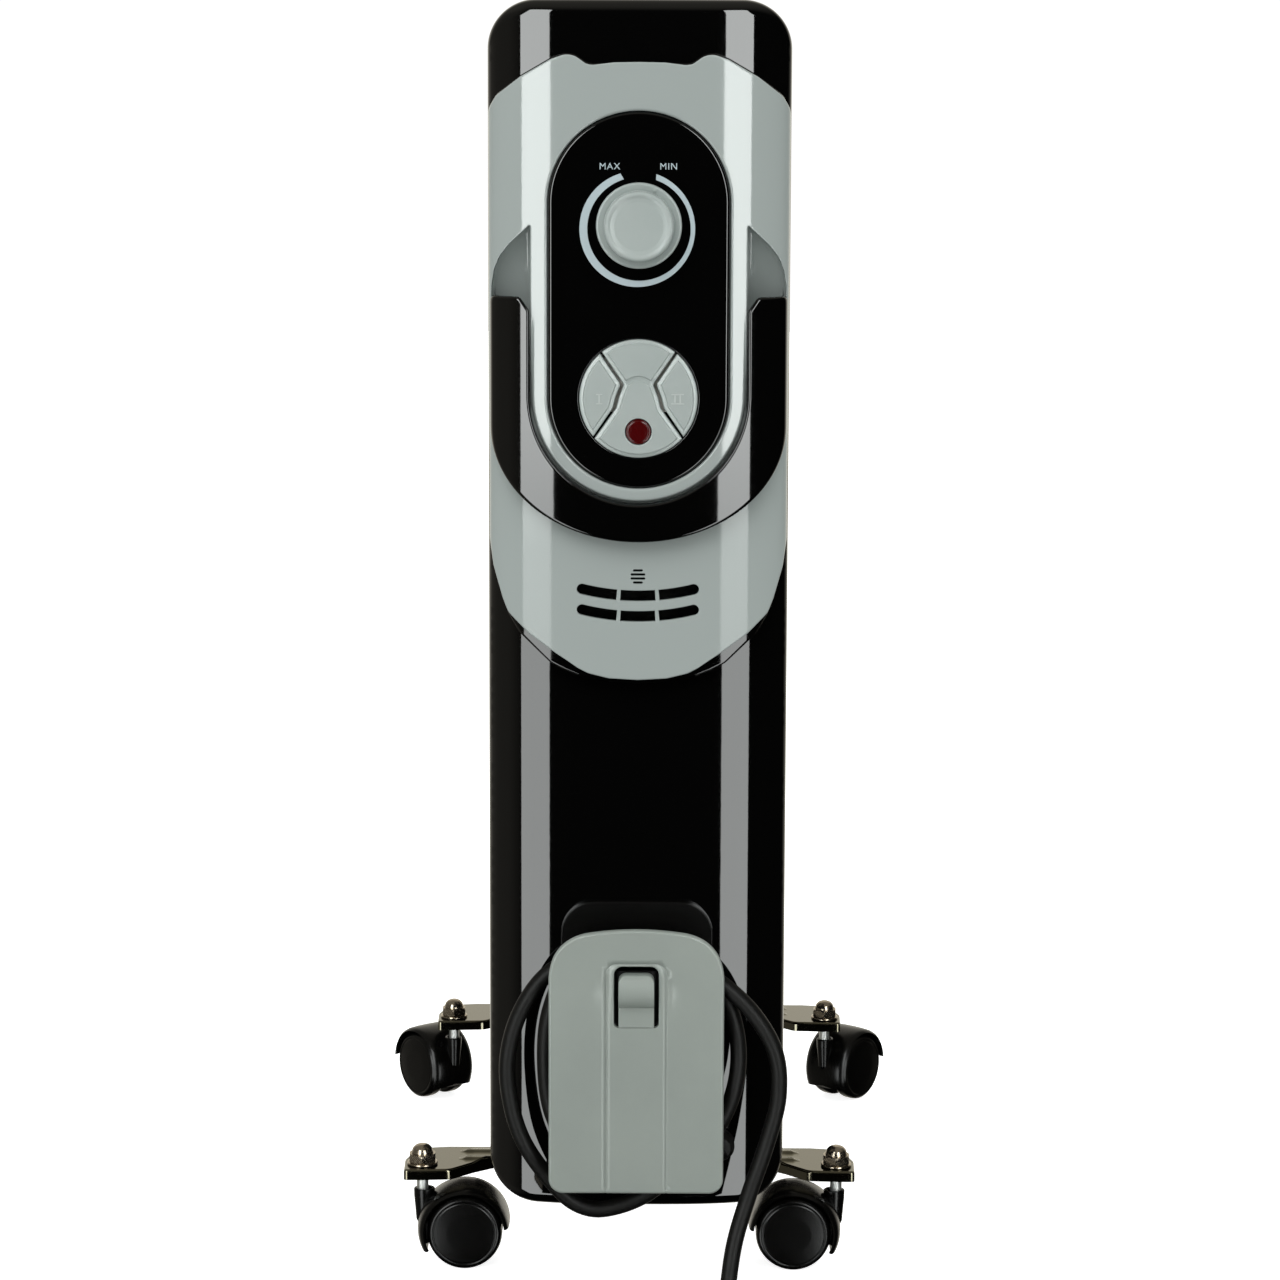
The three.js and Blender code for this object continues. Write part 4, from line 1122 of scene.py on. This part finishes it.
def raised_numeral(name, text, x, body):
    """I or II in low relief: upright bars between two serifs."""
    half = 1.5 * len(text)
    blocks = [(-half, half, 1.9, 2.5), (-half, half, -2.5, -1.9)]
    for i in range(len(text)):
        middle = (i - (len(text) - 1) / 2) * 2.5
        blocks.append((middle - 0.42, middle + 0.42, -2.0, 2.0))
    verts, faces = [], []
    for left, right, low, high in blocks:
        start = len(verts)
        for y in (-BUTTON_FRONT - 0.35, 0.2 - BUTTON_FRONT):
            for u, v in ((left, low), (right, low), (right, high), (left, high)):
                verts.append((x + u, y, CLUSTER_Z + v))
        faces.append(tuple(range(start, start + 4)))
        for i in range(4):
            j = (i + 1) % 4
            faces.append((start + j, start + i, start + 4 + i, start + 4 + j))
    finish_mesh(name, verts, faces, "raised_mark", body, smooth_angle=20)


def make_buttons():
    back = wall_to(BUTTON_FRONT - BUTTON_DEPTH)
    for side, text, body in ((1, "I", "left_button"), (-1, "II", "right_button")):
        name = f"button_{len(text)}"
        loop = button_loop(side)
        relief, lines = raised_middle(loop, 1.7, 1.1, 0.7)
        shape = lambda u, v, d: upright(u, v, d + BUTTON_FRONT + relief(u, v))
        part = Part()
        skin(part, [loop], shape, (0.45,), back, (2, 2), 3, lines, back=back)
        part.object(f"{name}_cap", "knob_grey", body, [name])
        raised_numeral(f"{name}_mark", text, -18.6 * side, body)


ARCH_Z = CLUSTER_Z + 1.0


def keyhole(u, v):
    """Relief of the bezel's lower piece: a step round its arched top."""
    reach = np.hypot(u, v - ARCH_Z)
    step = smooth_step((reach - 7.0) / 0.7) * smooth_step((10.1 - reach) / 0.7)
    return -1.1 * step * (v > ARCH_Z)


def make_bezel():
    loop = bezel_loop()
    lens = arc(0, LENS_Z, 6.3, 0, 360, 48)[:-1]
    border, lines = raised_middle(loop, 1.6, 1.1, 0.7)
    for radius in (7.0, 7.35, 7.7, 9.4, 9.75, 10.1):
        limit = 60 if radius > 8 else 78
        lines.append(arc(0, ARCH_Z, radius, 90 - limit, 90 + limit, 24))
    relief = lambda u, v: np.minimum(border(u, v), keyhole(u, v))
    shape = lambda u, v, d: upright(u, v, d + BUTTON_FRONT + relief(u, v))
    back = wall_to(BUTTON_FRONT - BUTTON_DEPTH)
    part = Part()
    skin(part, [loop, lens], shape, (0.45, 0.5), back, (1.6, 1.6), 3, lines)
    part.object("bezel_cap", "knob_grey", "radiator", ["button_bezel"])
    profile = [(3, 24), (5.9, 24), (5.95, 38.9), (5.7, 39.15), (5.3, 38.9), (4.7, 39.2), (3, 39.3)]
    lamp = facing_front(lathe([*profile, (0, 39.35)], 64, 0.35), 0, LENS_Z)
    turned_part("lamp_lens", "red_lens", "radiator", ["indicator_lamp"], [lamp])


# ------------------------------------------------------------------ handle

def handle_outline():
    inner, half = 51.9, 71.1
    top, side, low = 502.0, 440.4, 385.4
    under = arc(0, side, half, 360, 180, 90, side - low)
    over = arc(0, RING_LOW + RING, inner, 180, 360, 80)
    corners = [(-half, top), (-inner - 4.6, top), (-inner, top - 6.5)]
    left = rounded_line([under[-1], *corners, over[0]], 3.2)
    right = (left * (-1, 1))[::-1]
    return dense(anticlockwise(np.concatenate([under[1:-1], left, over[1:-1], right])), 2.5)


def make_handle():
    outline = handle_outline()
    shape = lambda u, v, d: at_y(u, bow(u, HANDLE_BOW) - d, v)

    def rear(u, v):
        """Hollow behind the grip, and seated on the faceplate at the legs."""
        hollow = bow(u, HANDLE_BOW, HANDLE_WALL) + 0.2
        seated = bow(u, FACE_BOW) - 0.35
        blend = smooth_step((v - 436) / 10) * smooth_step((67.6 - np.abs(u)) / 1.5)
        y = seated + (hollow - seated) * blend
        return at_y(u, np.maximum(y, bow(u, HANDLE_BOW) + 1.6), v)

    part = Part()
    skin(part, [outline], shape, (1.6,), rear, (1.8, 3), 5, back=rear)
    part.object("handle_skin", "gloss_black", "radiator", ["carry_handle"])


# ------------------------------------------------------------------ cord winder

def winder_outline():
    half, low, high, corner = WINDER["half"], WINDER["low"], WINDER["high"], 7
    left = arc(corner - half, low + corner, corner, 180, 270, 10)
    right = arc(half - corner, low + corner, corner, 270, 360, 10)
    groove_ends = [(x, low) for x in (-15.4, -14.7, -14.0, 14.0, 14.7, 15.4)]
    side, shoulder, top = np.array([(half, high - 24), (half - 1, high - 6), (half - 18, high - 2)])
    up = np.array(curve_points(side, shoulder, top, 13))
    over = curve_points(top, np.array((0, high + 2)), top * (-1, 1), 13)
    down = (up * (-1, 1))[::-1]
    return dense(np.concatenate([left, groove_ends, right, up, over[1:-1], down]), 5)


def groove_line(shift):
    """The groove round the clip's panel, open at the bottom of the plate."""
    half, top, corner = 14.7 + shift, 182 + shift, 5.3 + shift
    low = WINDER["low"] + 2.3
    return np.array(
        [
            (-half, low),
            *arc(corner - half, top - corner, corner, 180, 90, 8),
            *arc(half - corner, top - corner, corner, 90, 0, 8),
            (half, low),
        ]
    )


def winder_relief(u, v):
    inside = box_distance(u, v, -14.7, 14.7, -200, 182, 5.3)
    groove = -0.5 * np.clip(1 - np.abs(inside) / 0.35, 0, 1)
    dips = sum(np.exp(-(((u - s * 16.4) / 2.6) ** 2) - ((v - 167.5) / 6.5) ** 2) for s in (-1, 1))
    return groove - 0.9 * dips


def make_winder():
    slot = rounded_box(-10.8, 10.8, 150.4, 180.7, 2.1, 4.0, steps=6)
    shape = lambda u, v, d: upright(u, v, d + WINDER["front"] + winder_relief(u, v))
    back = wall_to(WINDER["back"])
    lines = [groove_line(s) for s in (-0.35, 0, 0.35)]
    slot_rim = lambda unit: 0.5 - 0.47 * (unit[:, 1] < -0.7)
    part = Part()
    loops = [winder_outline(), dense(slot, 2)]
    skin(part, loops, shape, (1.3, slot_rim), back, (2.5, 3), 5, lines, back=back)
    part.object("winder_face", "plate_grey", "radiator", ["winder_plate"])


def make_winder_core():
    """The pad on the cover, and the neck that the cord is wound round."""
    core = Part()
    pad = dense(rounded_box(-37, 37, 102, 206, 12, 16), 4)
    on_cover = lambda u, v: at_y(u, bow(u, COVER_BOW) + 0.05, v)
    skin(core, [pad], flat_at(24.0), (0.5,), on_cover, (4, 6), 3)
    neck = dense(rounded_box(-36, 36, 92, 178, 27), 3)
    skin(core, [neck], flat_at(46.7), (0.5,), wall_to(19.0), (8, 8), 2)
    core.object("winder_drum", "satin_black", "radiator", ["winder_core"])


CREST_Z = 168.4


def clip_relief(v):
    """The thumb lug across the tongue: a slow rise from the top, and a quick return below."""
    rise = np.sqrt(np.clip(1 - ((v - CREST_Z) / 9.4) ** 2, 0, 1))
    fall = np.sqrt(np.clip(1 - ((CREST_Z - v) / 7.4) ** 2, 0, 1))
    return 5.6 * np.where(v > CREST_Z, rise, np.where(v > CREST_Z - 7.4, fall, 0.0))


def make_clip():
    loop = dense(rounded_box(-8.6, 8.6, 150.64, 177, 0.1, 3.6, steps=6), 1.0)
    shape = lambda u, v, d: upright(u, v, d + WINDER["front"] + clip_relief(v))
    back = wall_to(WINDER["back"])
    lines = [[(-8.2, z), (8.2, z)] for z in (161.05, 161.3, 161.8, 162.6, 163.8, 165.4, CREST_Z)]
    rim = lambda unit: 0.5 - 0.47 * (unit[:, 1] > 0.7)
    part = Part()
    skin(part, [loop], shape, (rim,), back, (1.5, 1.0), 3, lines, back=back)
    part.object("winder_tongue", "plate_grey", "clip", ["winder_clip"])


def make_gland():
    """The bush in the cover and the tapered, ribbed strain relief that turns to the cord."""
    bush = lathe([(4.5, 12), (4.5, 19.5), (7.4, 19.5), (7.4, 27), (5.5, 31), (0, 31.5)], 32, 0.8)
    x, z = 41, 84
    start, end = np.array((x, -28, z)), np.array((14.1, -28, 66.5))
    count = 60
    line = [start + (end - start) * t for t in np.linspace(-0.05, 1, count)]
    taper = [6.7 - 1.9 * i / (count - 1) for i in range(count)]
    radii = [r - (0.7 if i % 8 in (6, 7) and i > 8 else 0) for i, r in enumerate(taper)]
    pieces = [facing_front(bush, x, z), lofted(line, radii)]
    turned_part("gland_boot", "cord_rubber", "radiator", ["cord_gland"], pieces, 50)


# ------------------------------------------------------------------ feet

def foot_outline(x):
    half = [
        (0, -4, 0), (38, -4, 14), (48, 4, 10), (60, 10.7, 10), (69, 9.8, 10), (80, 1.5, 10),
        (91, -9.3, 8), (x - 8, -9.9, 6), (x, -10.4, 12), (x + 9, -10.5, 2), (x + 9.6, 8, 8),
        (x + 6, 20, 12), (x - 2, 27.4, 10), (x - 12, 29, 10), (0, 29, 0),
    ]
    other = [(-u, v, r) for u, v, r in reversed(half[1:-1])]
    return dense(anticlockwise(rounded_polygon([*half, *other], 5)), 6)


def foot_relief(u, v):
    """Two drop shaped ribs on each side, running in under the body."""
    total = np.zeros(len(u))
    for line in FOOT_RIBS:
        along = RIB_END - np.abs(u)
        width = 0.9 + 2.2 * smooth_step(along / 9) - 0.9 * smooth_step((along - 10) / 20)
        ridge = np.exp(-(((v - line) / width) ** 2)) * smooth_step(along / 5)
        total = total + 1.5 * ridge
    return total


def make_foot(name):
    x, y, aside = FEET[name]
    half, low_end, bolt_y = BOLT["half"], BOLT["low"], y + BOLT["behind"]
    outline = foot_outline(x)
    holes = [arc(side * x, 0, 4.1, 0, 360, 24)[:-1] for side in (-1, 1)]
    holes += [arc(side * half - aside, BOLT["behind"], 2.9, 0, 360, 20)[:-1] for side in (-1, 1)]
    at = lambda u, v, z: np.stack([u + aside, v + y, z], 1)
    raised = lambda u, v, d: at(u, v, d + FOOT_TOP + foot_relief(u, v))
    low = lambda u, v: at(u, v, np.full(len(u), FOOT_TOP - FOOT_SKIRT))
    through = lambda u, v: at(u, v, np.full(len(u), FOOT_TOP - FOOT_SHEET - 0.1))
    lines = []
    for side in (-1, 1):
        for middle in FOOT_RIBS:
            for off in (-2.4, -1.2, 0, 1.2, 2.4):
                lines.append([(side * a, middle + off) for a in np.linspace(46, RIB_END, 22)])
    part = Part()
    skin(part, [outline, *holes], raised, (1.5, 0.3), [low, through], (4, 3), 4, lines)
    part.thicken(FOOT_SHEET, 2, FOOT_TOP - FOOT_SKIRT, len(outline))
    part.object(f"{name}_foot_sheet", "black_nickel", "radiator", [f"{name}_foot"])
    bend = [(-half, low_end), *arc(0, HUB["low"], half, 180, 0, 32), (half, low_end)]
    bar = [(u, bolt_y, v) for u, v in bend]
    tube(f"{name}_u_bolt", bar, BOLT["radius"], "zinc", [f"{name}_foot_bolt"], 4)
    nuts = [placed(hexagon(46.0, 50.2, 8), slide(side * half, bolt_y)) for side in (-1, 1)]
    turned_part(f"{name}_bolt_nuts", "zinc", "radiator", [], nuts, 25)


# ------------------------------------------------------------------ casters

def hexagon(low, high, across):
    """A hexagonal nut, chamfered like a real one: its corners are cut by a cone at both ends."""
    steps, chamfer = 72, 0.9
    apothem = across / 2
    corner = apothem / math.cos(math.pi / 6)
    levels = [low, low + chamfer * 0.5, low + chamfer, high - chamfer, high - chamfer * 0.5, high]
    verts, faces = [], []
    for z in levels:
        inset = max(0.0, chamfer - min(z - low, high - z))
        for i in range(steps):
            turn = 2 * math.pi * i / steps
            local = (turn + math.pi / 6) % (math.pi / 3) - math.pi / 6
            reach = min(apothem / math.cos(local), corner - inset * 1.1)
            verts.append((reach * math.cos(turn), reach * math.sin(turn), z))
    top = len(verts) - steps
    for ring in range(0, top, steps):
        faces += band(ring, ring + steps, steps)
    verts += [(0, 0, low), (0, 0, high)]
    for i in range(steps):
        j = (i + 1) % steps
        faces += [(top + steps, j, i), (top + i, top + j, top + steps + 1)]
    return verts, faces


def make_nut(name, at):
    top = FOOT_TOP + 0.3
    washer = lathe([(4.2, top), (7.8, top), (7.8, top + 1.0), (4.2, top + 1.0)], 48, 0.25, 2)
    profile = [(5.5, 5.2), (5.45, 6.6), (4.9, 8.2), (3.6, 9.5), (1.9, 10.2), (0, 10.4)]
    dome = lathe([(r, top + z) for r, z in profile], 48, 2.0)
    nut = placed(hexagon(top + 1.0, top + 5.6, 13.2), spin(3 if at.translation.x < 0 else -4, "Z"))
    pieces = [placed(piece, at) for piece in (washer, dome, nut)]
    turned_part(f"{name}_nut", "nickel", "radiator", [f"{name}_cap_nut"], pieces, 28)


def make_stem(name, at):
    profile = [(0, 24), (3, 24), (3, 47.2), (5.6, 47.2), (5.6, 48.8), (3.7, 48.8), (3.7, 56), (0, 56)]
    stem = placed(lathe(profile, 32, 0.2, 2), at)
    turned_part(f"{name}_pin", "zinc", "radiator", [f"{name}_stem"], [stem], 30)


def hood_band():
    """The roof over the wheels: an arched section swept about the axle, its far end cut back in the middle.
    """
    start, end, steps = 6, 207, 44
    outer = [(-13.6, 20.9), (-12.6, 21.9), (-10.5, 22.5), (-6, 22.8), (0, 22.9)]
    outer += [(-a, r) for a, r in reversed(outer[:-1])]
    section = [*outer, (13.0, 20.3), (10, 20.7), (0, 20.7), (-10, 20.7), (-13.0, 20.3)]
    verts, faces = [], []
    for i in range(steps + 1):
        t = i / steps
        angle = math.radians(start + (end - start) * t)
        tip = min(t, 1 - t) * (end - start)
        bulge = 1.7 * smooth_step((math.degrees(angle) - 100) / 50)
        for a, r in section:
            r += bulge * (r > 20.8) * (1 - (a / 14) ** 2)
            lag = 0.0
            if t > 0.5 and abs(a) < 12:
                lag = -math.radians(7.5) * max(0.0, 1 - tip / 14) * (1 - abs(a) / 14)
            verts.append((r * math.cos(angle + lag), a, r * math.sin(angle + lag)))
    count = len(section)
    for ring in range(0, steps * count, count):
        faces += band(ring, ring + count, count)
    faces.append(tuple(range(count)))
    faces.append(tuple(reversed(range(steps * count, (steps + 1) * count))))
    return verts, faces


def make_hood(name, at, axle):
    web = Part()
    loop = np.concatenate([arc(0, 0, 21.2, 6, 204, 40), [(-9, -6.5), (0, -6.5), (6, -4)]])
    back = wall_to(-3.0)
    skin(web, [dense(loop, 6)], flat_at(3.0), (0.5,), back, (8, 8), 2, back=back)
    neck = [(3.5, 39.4), (4.4, 39.4), (4.7, 39.0), (4.6, 35), (4.1, 29), (3.7, 23), (2.2, 19.5), (0, 18.5)]
    verts, faces = lathe(neck, 40, 0.6, 3)
    verts[:, 0] = 1.15 * verts[:, 0] + 0.9
    pieces = [
        placed(turned_out(hood_band()), axle),
        placed((web.joined()[0], web.faces), axle),
        placed(turned_out((verts, faces)), at),
    ]
    turned_part(f"{name}_fork", "satin_black", f"{name}_swivel", [f"{name}_hood"], pieces, 35)


def make_wheels(name, axle):
    body = f"{name}_wheels"
    profile = [(2.6, 3.5), (17.6, 3.5), (18.9, 4.3), (19.2, 5.6), (19.2, 9.6), (18.7, 11.5)]
    profile += [(17.4, 12.7), (16.6, 12.95), (16.3, 12.7), (15.8, 12.6), (15.3, 12.85), (9, 13.3)]
    wheel = lathe([*profile, (0, 13.5)], 72, 0.5, 3)
    for end, turn in (("a", 0), ("b", 180)):
        disc = placed(wheel, axle @ spin(turn, "Z") @ spin(-90, "X"))
        turned_part(f"{name}_tread_{end}", "satin_black", body, [f"{name}_wheel_{end}"], [disc], 40)
    pin = lathe([(0, -10.4), (2.3, -10.4), (2.3, 10.4), (0, 10.4)], 24)
    pin = placed(pin, axle @ spin(90, "X"))
    turned_part(f"{name}_axle_pin", "zinc", body, [f"{name}_axle"], [pin])


# Each caster: its name, its foot, its side, and the direction that it trails in.
CASTERS = [
    ("front_left", "front", -1, 0), ("front_right", "front", 1, 180),
    ("rear_left", "rear", -1, 128), ("rear_right", "rear", 1, 52),
]


def make_casters():
    for name, foot, side, trails in CASTERS:
        x, y, aside = FEET[foot]
        stem = slide(side * x + aside, y)
        swivel = stem @ spin(trails, "Z")
        axle = swivel @ slide(TRAIL, 0, AXLE)
        make_nut(name, stem)
        make_stem(name, stem)
        make_hood(name, swivel, axle)
        make_wheels(name, axle)


# ------------------------------------------------------------------ pieces inside

def dress_inner_nodes():
    """The CAD nodes that stay as they are, inside the covers, get their material."""
    slots = {p["node"]: p["material_slot"] for p in frame["record"]["subparts"]}
    electrical = ["thermostat_body", "power_switches", "terminal_block", "thermal_cutout"]
    for name in (*electrical, "thermostat_shaft", "heating_element"):
        made = frame["nodes"][name]
        made.data.materials.clear()
        made.data.materials.append(MATERIALS[slots[name]])


# ------------------------------------------------------------------ light

def make_strip(name, angle, spread, power):
    """A tall glowing sheet that only glossy surfaces show, brighter at its top than at its bottom."""
    distance, low, high = 1.6, -1.1, 1.55
    turn = math.radians(angle)
    x, y = distance * math.sin(turn), COVER_PLANE - distance * math.cos(turn)
    half, rise = distance * math.tan(math.radians(spread) / 2), (high - low) / 2
    rim = rounded_box(-half, half, -rise, rise, 0.01, 0.12, 8)
    mesh = bpy.data.meshes.new(name)
    mesh.from_pydata([(u, 0, v) for u, v in rim], [], [tuple(range(len(rim)))])
    glow = bpy.data.materials.new(name)
    glow.use_nodes = True
    glow.node_tree.nodes.clear()
    out = node(glow, "ShaderNodeOutputMaterial")
    light = node(glow, "ShaderNodeEmission", Color=(0.97, 1.0, 0.99, 1))
    values = (5.9 * power, 9.4 * power)
    ramp = ramp_along(glow, split_coords(glow, "Generated"), "Z", (0.44, 0.53), values)
    link(glow, ramp, "Result", light, "Strength")
    link(glow, light, "Emission", out, "Surface")
    mesh.materials.append(glow)
    made = bpy.data.objects.new(name, mesh)
    made.location = (x, y, (low + high) / 2)
    made.rotation_euler = (0, 0, math.atan2(-x, y - COVER_PLANE))
    made.visible_camera = False
    made.visible_diffuse = False
    made.visible_shadow = False
    bpy.context.scene.collection.objects.link(made)


def make_light():
    make_strip("strip_left", -31, 20, 1.1)
    make_strip("strip_right", 27, 17, 1.14)
    key = bpy.data.lights.new("key", "AREA")
    key.shape = "RECTANGLE"
    key.size, key.size_y = 1.5, 1.2
    key.energy = 14
    lamp = bpy.data.objects.new("key", key)
    lamp.visible_glossy = False
    lamp.location = (-0.5, COVER_PLANE - 1.5, 1.75)
    aim = Vector((0, COVER_PLANE, 0.4)) - lamp.location
    lamp.rotation_euler = aim.to_track_quat("-Z", "Y").to_euler()
    bpy.context.scene.collection.objects.link(lamp)


def make_world():
    """White where the camera looks, soft light on matt surfaces, and for glossy surfaces nearly dark
    but for light from behind the heater, from its left and from above."""
    world = bpy.data.worlds.new("studio")
    world.use_nodes = True
    world.node_tree.nodes.clear()
    seen = node(world, "ShaderNodeBackground", Color=(1, 1, 1, 1), Strength=1.05)
    soft = node(world, "ShaderNodeBackground", Color=(0.97, 1.0, 0.985, 1))
    dark = node(world, "ShaderNodeBackground", Color=(1.0, 0.95, 0.82, 1))
    split = split_coords(world, "Generated")
    rise = ramp_along(world, split, "Z", (-0.6, 0.9), (0.64, 1.0))
    link(world, rise, "Result", soft, "Strength")
    behind = ramp_along(world, split, "Y", (0.42, 0.95), (0.006, 1.0), "SMOOTHSTEP")
    beside = ramp_along(world, split, "X", (-0.5, -0.85), (0.0, 0.2), "SMOOTHSTEP")
    above = ramp_along(world, split, "Z", (0.35, 0.95), (0.0, 0.32), "SMOOTHSTEP")
    total = behind
    for ramp in (beside, above):
        both = node(world, "ShaderNodeMath")
        link(world, total, 0, both, 0)
        link(world, ramp, "Result", both, 1)
        total = both
    link(world, total, "Value", dark, "Strength")
    paths = node(world, "ShaderNodeLightPath")
    unseen = node(world, "ShaderNodeMixShader")
    every = node(world, "ShaderNodeMixShader")
    link(world, paths, "Is Glossy Ray", unseen, "Fac")
    link(world, soft, "Background", unseen, 1)
    link(world, dark, "Background", unseen, 2)
    link(world, paths, "Is Camera Ray", every, "Fac")
    link(world, unseen, "Shader", every, 1)
    link(world, seen, "Background", every, 2)
    link(world, every, "Shader", node(world, "ShaderNodeOutputWorld"), "Surface")
    bpy.context.scene.world = world


def make_floor():
    mesh = bpy.data.meshes.new("floor")
    size = 6.0
    corners = [(-size, -size, 0), (size, -size, 0), (size, size, 0), (-size, size, 0)]
    mesh.from_pydata(corners, [], [(0, 1, 2, 3)])
    white = material("floor_white", (0.9, 0.9, 0.9), 0.8)
    inputs = shader_of(white).inputs
    inputs["Emission Color"].default_value = (1, 1, 1, 1)
    inputs["Emission Strength"].default_value = 0.85
    mesh.materials.append(white)
    floor = bpy.data.objects.new("floor", mesh)
    floor.visible_glossy = False
    floor.visible_diffuse = False
    bpy.context.scene.collection.objects.link(floor)


bpy.context.scene.view_settings.view_transform = "Standard"

make_cord()
for fin_index in range(FIN["count"]):
    make_fin(fin_index)
make_cover()
make_housing()
make_vent_shade()
make_faceplate()
make_handle()
make_panel()
make_scale()
make_knob()
make_buttons()
make_bezel()
make_winder()
make_clip()
make_winder_core()
make_gland()
for foot_name in FEET:
    make_foot(foot_name)
make_casters()
dress_inner_nodes()
make_light()
make_world()
make_floor()
